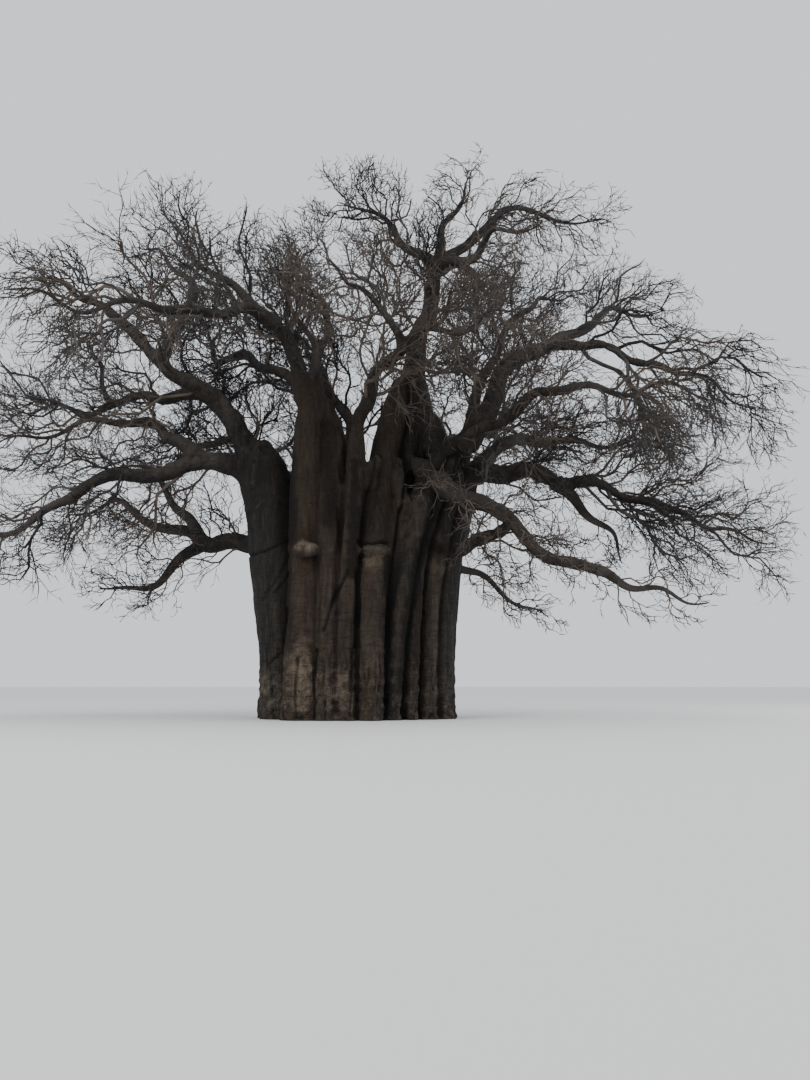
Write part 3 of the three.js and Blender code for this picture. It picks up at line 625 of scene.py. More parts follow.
def noise_at(points, size, seed=0):
    """Smooth noise from -1 to 1. size is the length of its lumps along x, y and z."""
    scaled = points / np.asarray(size) + seed * SEED_SHIFT
    return np.array([noise.noise(place) for place in scaled.tolist()])


def line_at(points, size, seed, width):
    """Winding lines: 1 on a line and 0 beside it."""
    return np.clip(1 - np.abs(noise_at(points, size, seed)) / width, 0, 1)


def smooth_step(value, low, high):
    share = np.clip((value - low) / (high - low), 0, 1)
    return share * share * (3 - 2 * share)


def vertex_values(mesh, name):
    values = np.empty(len(mesh.vertices) * 3, np.float32)
    mesh.vertices.foreach_get(name, values)
    return values.reshape(-1, 3).astype(float)


# Bark

FORK_SEED = 700
ROOT_LENGTH = 1.1  # of a mass's stem that is part of the bark
BOUGH_WAIST = 0.15  # how much slimmer a bough is half way
BOUGH_SWELL = 0.5  # how much wider a bough is at its foot on another bough
TRUNK_SWELL = 0.1  # the same where it leaves the trunk
BOUGH_FOOT = 0.5  # length over which most of that is lost
STEM_SWELL = 0.3  # how much wider a mass's stem is at its foot
STEM_FOOT = 0.3  # length over which most of that is lost
SKIN_SMOOTHING = ((0.5, 4), (-0.5, 2))  # strength and passes: the second gives back what the first takes
JOINT_PASSES = 30  # of softening where one limb leaves another
HOLLOW_PASSES = 10  # of softening that tell hollows from ridges
WARM_PASSES = 24  # of softening between brown and grey bark
HIGH_SHADE = 0.3  # painted shade: how much darker the trunk is near its top, under the crown
AT_GROUND = 0.02  # height below which the skin belongs to the flat cut and its rim
FAR = 9.0  # stands for any distance too great to matter
NEAR_MARGIN = 1.5  # how far from a limb the bark is still measured against it
NEAR_STRETCHES = 14

# The bark's relief: how far each kind stands out or lies in, in metres.
DEPTHS = {
    "lumps": 0.06,
    "ropes": 0.05,
    "folds": 0.022,
    "plates": 0.1,
    "rings": 0.016,
    "knots": 0.12,
    "small knots": 0.05,
    "furrows": 0.16,
    "splits": 0.06,
    "scar lines": 0.016,
    "bough lumps": 0.05,
    "bough lines": 0.025,
    "bough grain": 0.02,
}
RING_STEP = 0.42  # from one ring of the lower trunk to the next
SCAR_MIDDLE = 0.72  # of the old wound along x
SCAR_HALF_WIDTHS = (0.5, 0.62)  # between which it fades
SCAR_HEIGHTS = (5.1, 6.2)
SCAR_LINES = 34  # how closely its lines follow each other


def rounded(place, length, radius):
    """The share of a tube's radius near its two round ends."""
    to_end = min(place, length - place) / radius
    return math.sqrt(max(0.02, 1 - max(0, 1 - to_end) ** 2))


def bough_tube(name, limbs):
    """A bough, wide at its foot, a little slimmer half way, with round ends."""
    length = limbs.span[0]
    swell = BOUGH_SWELL if "carrier" in BOUGH_ROWS[name] else TRUNK_SWELL

    def radius_at(t, angles):
        waist = 1 - BOUGH_WAIST * math.sin(math.pi * t)
        radius = limbs.radius(t)[0] * waist * (1 + swell * math.exp(-t * length / BOUGH_FOOT))
        return np.full(len(angles), radius * rounded(t * length, length, radius))

    return tube(limbs, 20, max(24, round(length / 0.12)), radius_at, pointed=False)


def fork_tube(row, index):
    """The bark that fills a fork, as a short tapered tube with round ends."""
    start, tip = np.array(row["start"], float), np.array(row["tip"], float)
    course = unit(tip - start)
    made = one_limb(start, course, tip, course, row["radius"], FORK_SEED + index, 0.03)
    length = made.span[0]

    def radius_at(t, angles):
        radius = made.radius(np.array([t]))[0]
        return np.full(len(angles), radius * rounded(t * length, length, radius))

    return tube(made, 20, 20, radius_at, pointed=False)


def stem_root_tube(stem):
    """The first length of a mass's stem, wide at its foot and closing into the stem."""
    length = stem.span[0]
    end = ROOT_LENGTH / length

    def radius_at(t, angles):
        radius = stem.radius(t)[0] * (1.02 + STEM_SWELL * math.exp(-t * length / STEM_FOOT))
        closing = 1 - 0.4 * smooth_step(t, 0.6 * end, end)
        return np.full(len(angles), radius * closing * rounded(t * length, length, radius))

    return tube(stem, 14, 18, radius_at, pointed=False, end=end)


def column_tube(made, index):
    """A column with its lobes and a rounded top."""
    seed = FIRST_COLUMN_SEED + index
    lobes = 2 + math.floor(3 * float(chance(seed, 6)))

    def radius_at(t, angles):
        turned = math.pi / 2 - angles
        bump = 1 + 0.05 * np.sin(lobes * turned + 5 * t + 6 * chance(seed, 7))
        rounding = math.sqrt(max(0.04, 1 - max(0, 20 * t - 19) ** 2))
        return made.radius(np.array([t]))[0] * bump * rounding

    return tube(made, 48, 90, radius_at, pointed=False)


def one_skin(parts, voxel):
    """One even skin round overlapping closed tubes, cut flat at ground level."""
    source = bpy.data.objects.new("bark_parts", new_mesh("bark_parts", *merged(parts)))
    bpy.context.scene.collection.objects.link(source)
    remesh = source.modifiers.new("skin", "REMESH")
    remesh.mode = "VOXEL"
    remesh.voxel_size = voxel
    for strength, passes in SKIN_SMOOTHING:
        smooth = source.modifiers.new("soften", "SMOOTH")
        smooth.factor = strength
        smooth.iterations = passes
    bpy.context.view_layer.update()
    made = source.evaluated_get(bpy.context.evaluated_depsgraph_get())
    mesh = bpy.data.meshes.new_from_object(made)
    bpy.data.objects.remove(source)
    shape = bmesh.new()
    shape.from_mesh(mesh)
    everything = shape.verts[:] + shape.edges[:] + shape.faces[:]
    ground = dict(plane_co=(0, 0, 0), plane_no=(0, 0, 1), clear_inner=True)
    cut = bmesh.ops.bisect_plane(shape, geom=everything, **ground)
    rim = [item for item in cut["geom_cut"] if isinstance(item, bmesh.types.BMEdge)]
    bmesh.ops.edgenet_fill(shape, edges=rim)
    shape.to_mesh(mesh)
    shape.free()
    return mesh


def softened(mesh, values, weights, passes):
    """The vertices' values, each moved towards its neighbours' as far as its weight says."""
    edges = np.empty(len(mesh.edges) * 2, np.int32)
    mesh.edges.foreach_get("vertices", edges)
    first, second = edges.reshape(-1, 2).T
    count = len(values)
    neighbours = np.bincount(first, minlength=count) + np.bincount(second, minlength=count)
    for _ in range(passes):
        sums = [
            np.bincount(first, values[second, i], count) + np.bincount(second, values[first, i], count)
            for i in range(values.shape[1])
        ]
        middle = np.stack(sums, axis=1) / neighbours[:, None]
        values = values + (middle - values) * np.reshape(weights, (-1, 1))
    return values


def set_places(mesh, places):
    """Moves the vertices to their new places, and gives those back."""
    mesh.vertices.foreach_set("co", places.astype(np.float32).ravel())
    mesh.update()
    return places


class NearLimbs:
    """For each place on the bark, how it lies to the limbs of the tree."""

    def __init__(self, places, columns, boughs):
        limbs = [*columns, *boughs]
        self.gaps = np.full((len(limbs), len(places)), FAR, np.float32)
        self.shares = np.zeros((len(limbs), len(places)), np.float32)
        for i, limb in enumerate(limbs):
            self.measure(places.astype(np.float32), i, limb)
        self.nearest = np.argmin(self.gaps, axis=0)
        self.on_bough = self.nearest >= len(columns)
        self.share = self.shares[self.nearest, np.arange(len(places))]
        column_gaps = self.gaps[1 : len(columns)]
        order = np.argsort(column_gaps, axis=0)[:2]
        self.column, self.next_column = 1 + order
        first, second = np.take_along_axis(column_gaps, order, axis=0)
        self.between = second - first
        self.off_trunk = np.minimum(first, self.gaps[0])
        bough_gaps = np.sort(self.gaps[len(columns) :], axis=0)[:2]
        self.joint = np.maximum(bough_gaps[0], np.minimum(bough_gaps[1], self.off_trunk))

    def measure(self, places, i, limb):
        """Keeps the distance from one limb's surface, and the share of its length, where it is near."""
        joints, radii = (values.astype(np.float32) for values in course_of(limb, NEAR_STRETCHES))
        reach = radii.max() + NEAR_MARGIN
        near = np.all((places > joints.min(axis=0) - reach) & (places < joints.max(axis=0) + reach), axis=1)
        points = places[near]
        best = np.full(len(points), FAR, np.float32)
        at = np.zeros(len(points), np.float32)
        for k in range(NEAR_STRETCHES):
            gap, share = to_stretch(points, joints[k], joints[k + 1])
            gap -= radii[k] + (radii[k + 1] - radii[k]) * share
            closer = gap < best
            best[closer] = gap[closer]
            at[closer] = (k + share[closer]) / NEAR_STRETCHES
        self.gaps[i, near] = best
        self.shares[i, near] = at


# Marks on the front of the trunk, each a line across the front (x, z) with its half width and depth.
CREASES = [
    dict(line=((-4.3, 6.1), (-3.4, 6.2), (-2.5, 6.6)), width=0.09, depth=0.07),
    dict(line=((-3.5, 4.4), (-2.8, 5.3), (-2.4, 6.1)), width=0.1, depth=0.05),
    dict(line=((-3.0, 4.6), (-2.4, 5.4)), width=0.09, depth=0.05),
    dict(line=((-3.2, 2.0), (-2.6, 2.5), (-2.45, 4.0)), width=0.12, depth=0.07),
    dict(line=((-0.2, 5.3), (-0.6, 4.6), (-1.05, 3.2)), width=0.12, depth=0.08),
    dict(line=((-1.3, 5.7), (-1.2, 4.2), (-1.25, 2.8)), width=0.12, depth=0.05),
    dict(line=((0.1, 5.4), (0.15, 4.2), (0.1, 2.6)), width=0.1, depth=0.08),
    dict(line=((-1.3, 2.5), (-1.4, 1.4), (-1.34, 0.1)), width=0.09, depth=0.08),
    dict(line=((-1.95, 2.2), (-2.05, 1.3), (-1.98, 0.1)), width=0.1, depth=0.08),
    dict(line=((0.0, 2.4), (-0.05, 0.2)), width=0.08, depth=0.06),
    dict(line=((0.2, 6.4), (0.75, 6.36), (1.2, 6.42)), width=0.1, depth=0.08),
]
# Painted shade down the front of the trunk, where its furrows and hollows lie in shade: a line down
# the front, its half width and how dark it is.
PAINTED_SHADE_BANDS = [
    dict(line=((-2.6, 9.6), (-2.55, 6.6)), width=0.75, strength=0.95),
    dict(line=((-2.5, 6.0), (-2.5, 2.8)), width=0.4, strength=0.8),
    dict(line=((-0.98, 10.9), (-0.9, 7.2)), width=0.5, strength=0.8),
    dict(line=((0.0, 9.4), (-0.1, 5.2)), width=0.32, strength=0.9),
    dict(line=((0.6, 9.0), (0.5, 6.9)), width=0.6, strength=0.6),
    dict(line=((1.5, 12.6), (1.3, 9.4)), width=0.6, strength=0.35),
    dict(line=((1.3, 5.8), (1.2, 0.4)), width=0.32, strength=0.95),
    dict(line=((2.4, 6.0), (2.05, 4.2), (1.74, 1.0)), width=0.34, strength=0.95),
    dict(line=((2.7, 6.6), (3.1, 6.3)), width=0.4, strength=0.9),
    dict(line=((2.35, 5.0), (2.3, 2.0)), width=0.3, strength=0.7),
]
# Pale worn bark on the front, and one thin painted highlight down a column's lit edge: centre (x, z),
# half widths and how pale it is.
WORN_AND_HIGHLIT_PLACES = [
    dict(at=(-1.77, 6.2), size=(0.5, 0.26), strength=1.0),
    dict(at=(0.72, 5.8), size=(0.6, 0.5), strength=0.4),
    dict(at=(-1.8, 1.5), size=(0.6, 1.3), strength=0.7),
    dict(at=(-0.5, 1.0), size=(0.9, 0.9), strength=0.35),
    dict(at=(0.65, 2.2), size=(0.5, 1.3), strength=0.12),
    dict(at=(-3.3, 0.9), size=(0.8, 0.9), strength=0.3),
    dict(at=(2.2, 7.5), size=(0.6, 1.0), strength=0.18),
    dict(at=(3.05, 5.5), size=(0.4, 0.35), strength=0.25),
    # Painted highlight: a thin light line down a column's lit right edge.
    dict(at=(2.98, 3.4), size=(0.12, 2.4), strength=0.15),
]
# Knotted bark with hollows: centre (x, z) and half widths.
KNOTTED_PLACES = [
    dict(at=(2.3, 7.6), size=(0.9, 1.5)),
    dict(at=(3.05, 5.6), size=(0.45, 0.5)),
    dict(at=(-3.9, 8.1), size=(0.5, 1.0)),
    dict(at=(-4.1, 10.7), size=(1.0, 1.3)),
]


def near_line(places, line):
    """How far each place is from a line across the front of the trunk."""
    points = places[:, [0, 2]]
    stretches = zip(np.array(line[:-1], float), np.array(line[1:], float))
    return np.min([to_stretch(points, *stretch)[0] for stretch in stretches], axis=0)


def in_place(places, place, rough):
    """1 inside an oval across the front of the trunk, 0 outside, with a rough edge."""
    offset = (places[:, [0, 2]] - place["at"]) / place["size"]
    return 1 - smooth_step(np.linalg.norm(offset, axis=1) + 0.45 * rough, 0.5, 1.2)


def trunk_marks(places):
    """The depth of the creases, and the shares of painted shade, of worn bark with one painted highlight,
    and of knotted bark, on the front.
    """
    front = smooth_step(places[:, 1], -0.2, -0.8)
    rough = noise_at(places, (0.3, 0.3, 0.25), 23)
    winding = 0.05 * noise_at(places, (0.5, 0.5, 0.5), 21)

    def crease(row):
        share = np.clip(1 - (near_line(places, row["line"]) + winding) / row["width"], 0, 1)
        return row["depth"] * share

    # A band of painted shade.
    def shade_band(row):
        off_line = near_line(places, row["line"]) + 0.12 * rough
        return row["strength"] * smooth_step(off_line, row["width"], 0.25 * row["width"])

    def oval(row):
        return row.get("strength", 1) * in_place(places, row, rough)

    kinds = ((crease, CREASES), (shade_band, PAINTED_SHADE_BANDS), (oval, WORN_AND_HIGHLIT_PLACES), (oval, KNOTTED_PLACES))
    return [front * np.max([mark(row) for row in rows], axis=0) for mark, rows in kinds]


def furrow_share(near):
    """1 in the furrow between two columns and 0 beside it."""
    strength = np.array([row["furrow"] for row in COLUMN_ROWS])
    strength = (strength[near.column] + strength[near.next_column]) / 2
    share = np.clip(1 - near.between / 0.3, 0, 1)
    share[near.off_trunk > 0.3] = 0
    return share * strength


def trunk_relief(places, furrow, crease, knots, knotted):
    """How far the bark stands out on the trunk."""
    x, y, z = places.T
    lumps = DEPTHS["lumps"] * noise_at(places, (1.1, 1.1, 2.2), 1)
    winding = places + 0.3 * noise_at(places, (1.5, 1.5, 1.5), 10)[:, None]
    ropes = DEPTHS["ropes"] * noise_at(winding, (0.34, 0.34, 2.6), 2)
    folds = DEPTHS["folds"] * noise_at(places, (1.1, 1.1, 0.24), 3) * smooth_step(z, 6.6, 3.5)
    low = np.exp(-np.maximum(z, 0) / 1.5)
    plates = DEPTHS["plates"] * low * noise_at(places, (0.26, 0.26, 0.4), 5)
    turns = z / RING_STEP + noise_at(places, (0.7, 0.7, 1.5), 13)
    rings = DEPTHS["rings"] * smooth_step(z, 2.8, 1.2) * np.sin(2 * math.pi * turns)
    plain = lumps + ropes + folds + plates + rings + knots * knotted
    striations = np.sin(SCAR_LINES * z + 4 * x + 4 * noise_at(places, (0.5, 0.5, 0.5), 6))
    scar = smooth_step(np.abs(x - SCAR_MIDDLE), SCAR_HALF_WIDTHS[1], SCAR_HALF_WIDTHS[0])
    scar = scar * (z > SCAR_HEIGHTS[0]) * (z < SCAR_HEIGHTS[1]) * (y < -2)
    return plain - DEPTHS["furrows"] * furrow**2 - crease + DEPTHS["scar lines"] * striations * scar


def bark_relief(places, near, furrow, crease, knotted):
    """How far the bark stands out at each place."""
    knots = DEPTHS["knots"] * noise_at(places, (0.42, 0.42, 0.5), 11)
    knots = knots + DEPTHS["small knots"] * noise_at(places, (0.2, 0.2, 0.22), 12)
    trunk = trunk_relief(places, furrow, crease, knots, knotted)
    bough = DEPTHS["bough lumps"] * noise_at(places, (0.6, 0.6, 0.6), 7)
    bough = bough - DEPTHS["bough lines"] * line_at(places, (0.5, 0.5, 0.5), 8, 0.2)
    bough = bough + DEPTHS["bough grain"] * noise_at(places, (0.22, 0.22, 0.22), 9)
    bough = bough + knots * np.maximum(knotted, 0.7 * smooth_step(near.joint, 0.6, 0.15))
    grey = bough_share(near)
    return trunk * (1 - grey) + bough * grey


def bough_share(near):
    """0 on the trunk, 1 on a bough that has left it."""
    return smooth_step(near.off_trunk, 0.1, 1.0)


def part_of(mesh, keep, normals, attributes, name):
    """The faces of the skin that are kept, as a mesh with the whole skin's normals."""
    corners, totals = corners_of(mesh)
    used, renumbered = np.unique(corners[np.repeat(keep, totals)], return_inverse=True)
    part = mesh_of(name, vertex_values(mesh, "co")[used], renumbered, totals[keep])
    part.normals_split_custom_set_from_vertices(normals[used].tolist())
    for key, values in attributes.items():
        layer = part.attributes.new(key, "FLOAT", "POINT")
        layer.data.foreach_set("value", values[used].astype(np.float32))
    return part


def whole_skin(columns, boughs, voxel):
    """One skin round columns, boughs, the roots of the stems, filled forks and lumps."""
    parts = [column_tube(made, i) for i, made in enumerate(columns)]
    parts += [bough_tube(name, limbs) for name, limbs in boughs.items()]
    parts += [stem_root_tube(stem) for stem in tree_stems(boughs).values()]
    parts += [fork_tube(row, i) for i, row in enumerate(FORK_ROWS)]
    parts += [ball(**row) for row in BURL_ROWS]
    return one_skin(parts, voxel)


def soften_joints(mesh, places, near):
    """Softens the skin where one limb leaves another and at the tops of the columns."""
    in_joint = smooth_step(near.joint, 0.55, 0.1) * (places[:, 2] > 1)
    at_top = smooth_step(near.share, 0.86, 0.95) * (places[:, 2] > 9) * ~near.on_bough
    return set_places(mesh, softened(mesh, places, 0.5 * np.maximum(in_joint, at_top), JOINT_PASSES))


def raise_skin(mesh, places, relief):
    """Moves the skin out by the relief, with the flat cut and its rim left at ground level."""
    outward = vertex_values(mesh, "normal")
    at_ground = places[:, 2] < AT_GROUND
    outward[at_ground, 2] = 0
    moved = places + outward * relief[:, None]
    moved[:, 2] = np.where(at_ground, places[:, 2], np.maximum(moved[:, 2], AT_GROUND / 2))
    return set_places(mesh, moved)


def bark_values(mesh, places, near, furrow, crease, dark, worn):
    """What the bark's material reads at each place, each from 0 to 1."""
    normals = vertex_values(mesh, "normal")
    hollow = np.sum((softened(mesh, places, 0.5, HOLLOW_PASSES) - places) * normals, axis=1)
    grey = bough_share(near)
    # Painted shade on the undersides of the boughs.
    painted_underside_shade = 0.55 * grey * smooth_step(normals[:, 2], 0.1, -0.7)
    # Painted light on the tops of the boughs.
    painted_top_light = 0.9 * grey * smooth_step(normals[:, 2], 0.2, 0.9)
    # Each column's warm share: partly its bark's own tone, partly painted light on lit columns and painted
    # shade on shaded ones.
    warm = np.array([row["warm"] for row in COLUMN_ROWS])[near.column, None]
    return {
        "warm": softened(mesh, warm, 0.5, WARM_PASSES)[:, 0],
        # Painted shade in the furrows between the columns, and in the creases and splits.
        "furrow": np.maximum(0.9 * smooth_step(furrow, 0.4, 1.0), 0.75 * smooth_step(crease, 0.02, 0.07)),
        # Painted shade in the hollows of the bark and under the boughs.
        "hollow": np.maximum(smooth_step(hollow, 0.0, 0.05), painted_underside_shade),
        # Lighter on ridges, and painted light on the tops of the boughs.
        "ridge": np.maximum(smooth_step(hollow, -0.008, -0.045), painted_top_light),
        # Painted shade: the shaded bands down the trunk's front and its darker top.
        "dark": dark,
        # Pale worn bark, and one painted highlight down a column's edge.
        "worn": worn,
        "bough": grey,
    }


def make_bark(sizes, materials):
    """The bark of the trunk and of the boughs: one skin, kept as two pieces."""
    columns = tree_columns()
    boughs = tree_boughs()
    mesh = whole_skin(columns, boughs, sizes.skin_step)
    places = vertex_values(mesh, "co")
    near = NearLimbs(places, columns, boughs.values())
    places = soften_joints(mesh, places, near)
    height = places[:, 2]
    furrow = furrow_share(near)
    crease, dark, worn, knotted = trunk_marks(places)
    splits = line_at(places, (0.5, 0.5, 2.4), 31, 0.11) * smooth_step(height, 3.4, 1.4)
    crease = np.maximum(crease, DEPTHS["splits"] * splits)
    # Painted shade: the trunk darker towards its top, in the crown's shade, added to the shaded bands.
    shaded = HIGH_SHADE * smooth_step(height, 4.5, 9) * (1 - bough_share(near))
    dark = np.maximum(dark, shaded)
    relief = sizes.relief_depth * bark_relief(places, near, furrow, crease, knotted)
    places = raise_skin(mesh, places, relief)

    values = bark_values(mesh, places, near, furrow, crease, dark, worn)
    normals = vertex_values(mesh, "normal")
    corners, totals = corners_of(mesh)
    first_corners = corners[np.cumsum(totals) - totals]
    on_bough = (near.on_bough & (near.off_trunk > 0.05))[first_corners]
    trunk = part_of(mesh, ~on_bough, normals, values, "bark_of_trunk")
    limbs = part_of(mesh, on_bough, normals, values, "bark_of_boughs")
    new_piece("bark_of_trunk", trunk, [materials.bark("trunk bark")], ["trunk"])
    nodes = ["bough_" + name for name in BOUGH_ROWS]
    new_piece("bark_of_boughs", limbs, [materials.bark("bough bark")], nodes)


# Twigs

TWIG_STRETCHES = 8  # of a limb that twigs keep clear of


def stretches(limb):
    """A limb as short straight stretches: their starts, ends and radii."""
    joints, radii = course_of(limb, TWIG_STRETCHES)
    return joints[:-1], joints[1:], np.maximum(radii[:-1], radii[1:])


def joined_stretches(parts):
    return [np.concatenate([part[i] for part in parts]).astype(np.float32) for i in range(3)]


def distance(points, parts, surface):
    """The least distance from each point to the stretches, or to their surface."""
    least = np.full(len(points), np.inf, np.float32)
    for start, end, radius in zip(*parts):
        gap, _ = to_stretch(points, start, end)
        least = np.minimum(least, gap - radius if surface else gap)
    return least


def in_reach(points, own, spread):
    """Which points lie no further from the stem than the source's own twigs reach there."""
    inside = np.zeros(len(points), bool)
    for k, (start, end, _) in enumerate(zip(*own)):
        gap, share = to_stretch(points, start, end)
        inside |= gap < spread * (REACH_AT_FOOT - REACH_LOSS * (k + share) / len(own[0]))
    return inside


def fits(twigs, own, others, limbs, tests, spread=None):
    """Which twigs keep clear of all limbs, and inside their mass's own space and reach."""
    good = np.ones(len(twigs.span), bool)
    low, high = np.array(CAD_BOX[0]), np.array(CAD_BOX[1])
    for t in tests:
        live = np.flatnonzero(good)
        points = twigs.point(t)[live].astype(np.float32)
        room = (twigs.radius(t)[live] + TWIG_GAP).astype(np.float32)
        clear = np.all((points > low) & (points < high), axis=-1)
        clear &= distance(points, limbs, True) >= room
        clear &= distance(points, others, True) >= room
        if t >= SPACE_STARTS and own is not None:
            clear &= distance(points, own, False) + 2 * room < distance(points, others, False)
            clear &= in_reach(points, own, spread)
        good[live] = clear
    return good


def shoots(parents, rule, index, place, places, pull, full, longer):
    """One twig on each parent, at the given one of so many places along it."""
    seed = child_seed(parents.seed, index)
    at = rule["first"] + (rule["last"] - rule["first"]) * (place + chance(seed, 0)) / places
    lean = np.radians(rule["lean"] * (0.7 + 0.6 * chance(seed, 1)))[:, None]
    roll = GOLDEN_ANGLE * index + 2 * math.pi * chance(parents.seed, 2) + 1.2 * chance(seed, 2)
    roll = roll[:, None]
    along = parents.direction(at)
    side = across(along)
    other = np.cross(along, side)
    leaving = along * np.cos(lean) + np.sin(lean) * (side * np.cos(roll) + other * np.sin(roll))
    length = full or parents.span * rule["share"]
    length = length * (LENGTH_AT_FOOT - LENGTH_LOSS * at) * (0.8 + 0.4 * chance(seed, 3)) * longer
    arriving = unit(leaving + np.array(pull, float) * rule.get("bend", 1))
    start = parents.point(at)
    tip = start + (leaving + arriving) * length[:, None] / 2
    root = np.minimum(TWIG_SLIMNESS * length, TWIG_MOST_OF_PARENT * parents.radius(at))
    root = np.maximum(root, TWIG_LEAST)
    spray = None if full else parents.spray
    return Limbs(start, leaving, tip, arriving, [root, root * TWIG_END], seed, rule["crook"], spray)


def children(parents, rule, pull, more_pull, full=None, rate=1, reach=1):
    """The twigs that leave each parent: the source's own number, and more at the rule's rate."""
    count = rule["count"]
    made = [shoots(parents, rule, index, index, count, pull, full, 1) for index in range(count)]
    numbers = np.ceil(parents.span * rule["rate"] * rate)
    for place in range(int(numbers.max(initial=0))):
        more = numbers > place
        longer = MORE_SHARE * reach
        carriers = parents.take(more)
        made.append(shoots(carriers, rule, count + place, place, numbers[more], more_pull, full, longer))
    return Limbs.joined(made)


def stem_tube(stem):
    length = stem.span[0]

    def radius_at(t, angles):
        radius = stem.radius(t)[0] * (1 + STEM_SWELL * math.exp(-t * length / STEM_FOOT))
        return np.full(len(angles), radius)

    return tube(stem, 12, 40, radius_at)


def side_branches(bough, added, others, limbs):
    """Branches that leave a bough on its way and bend outwards."""
    length = SIDE_LENGTH * added.get("sides", 1)
    pull = added.get("side_pull", unit(bough.bend[3][0] * (1, 1, 0)) * SIDE_PULL)
    grown = children(bough, SIDE_RULE, pull, pull, length, added.get("side_rate", 1))
    return grown.take(fits(grown, None, others, limbs, EARLY_TESTS))


def grown_twigs(name, stem, space, sides):
    """Level after level of the twigs of a mass, and of the side branches that belong to it."""
    own, others, limbs = space
    row = MASS_ROWS[name]
    added = ADDED_ROWS.get(name, {})
    more_pull = added.get("pull", row["pull"])
    reach = added.get("reach", 1)
    on_stem = dict(full=row["spread"], rate=added.get("rate", 1), reach=reach)
    parents = stem
    for level, rule in enumerate(TWIG_LEVELS):
        first = level == 0
        grown = children(parents, rule, row["pull"], more_pull, **(on_stem if first else {}))
        tests = LATE_TESTS if level > 1 else EARLY_TESTS
        parents = grown.take(fits(grown, own, others, limbs, tests, row["spread"] * reach))
        yield rule, parents
    if sides is None:
        return
    parents = sides
    yield TWIG_LEVELS[0], parents
    for rule in TWIG_LEVELS[1:]:
        grown = children(parents, rule, more_pull, more_pull)
        parents = grown.take(fits(grown, None, others, limbs, LATE_TESTS))
        yield rule, parents


def make_mass(name, stem, space, sides, materials):
    """A mass of twigs on its stem: the stem's material, and the others dealt out by spray."""
    parts = [stem_tube(stem)]
    tones = [np.zeros(len(faces)) for faces in parts[0][1]]
    kinds = len(materials) - 1
    for rule, twigs in grown_twigs(name, stem, space, sides):
        if len(twigs.span):
            vertices, faces = tube(twigs, rule["sides"], rule["steps"])
            parts.append((vertices, faces))
            tone = 1 + np.minimum(twigs.spray * kinds, kinds - 1).astype(int)
            tones += [np.repeat(tone, len(kind) // len(twigs.span)) for kind in faces]
    mesh = new_mesh("bare_twigs_" + name, *merged(parts))
    mesh.polygons.foreach_set("material_index", np.concatenate(tones).astype(np.int32))
    new_piece("bare_twigs_" + name, mesh, materials, ["twigs_" + name])


def make_twigs(materials):
    """Every mass of twigs. The side branches of a bough belong to the first mass that it carries."""
    boughs = tree_boughs()
    stems = tree_stems(boughs)
    trunk = [stretches(made) for made in tree_columns()]
    solid = {name: stretches(limb) for name, limb in boughs.items()}
    limbs = joined_stretches([*trunk, *solid.values()])
    lines = {name: stretches(stem) for name, stem in stems.items()}
    bark, dark, grey, brown = materials.all_twigs()
    waiting = dict(boughs)
    for name, stem in stems.items():
        others = joined_stretches([line for other, line in lines.items() if other != name])
        own = joined_stretches([lines[name]])
        added = ADDED_ROWS.get(name, {})
        carrier = added.get("side_of", MASS_ROWS[name].get("carrier", name))
        bough = waiting.pop(carrier, None)
        sides = None
        if bough:
            rest = joined_stretches([*trunk, *(part for key, part in solid.items() if key != carrier)])
            sides = side_branches(bough, added, others, rest)
        # Painted sunlight: the masses before the trunk get lighter twig materials than the others.
        tones = [bark, grey, brown, brown] if name in FRONT_MASSES else [bark, dark, grey, brown]
        make_mass(name, stem, (own, others, limbs), sides, tones)


# Materials

DULLNESS = 0.2  # the level of shine of all bark


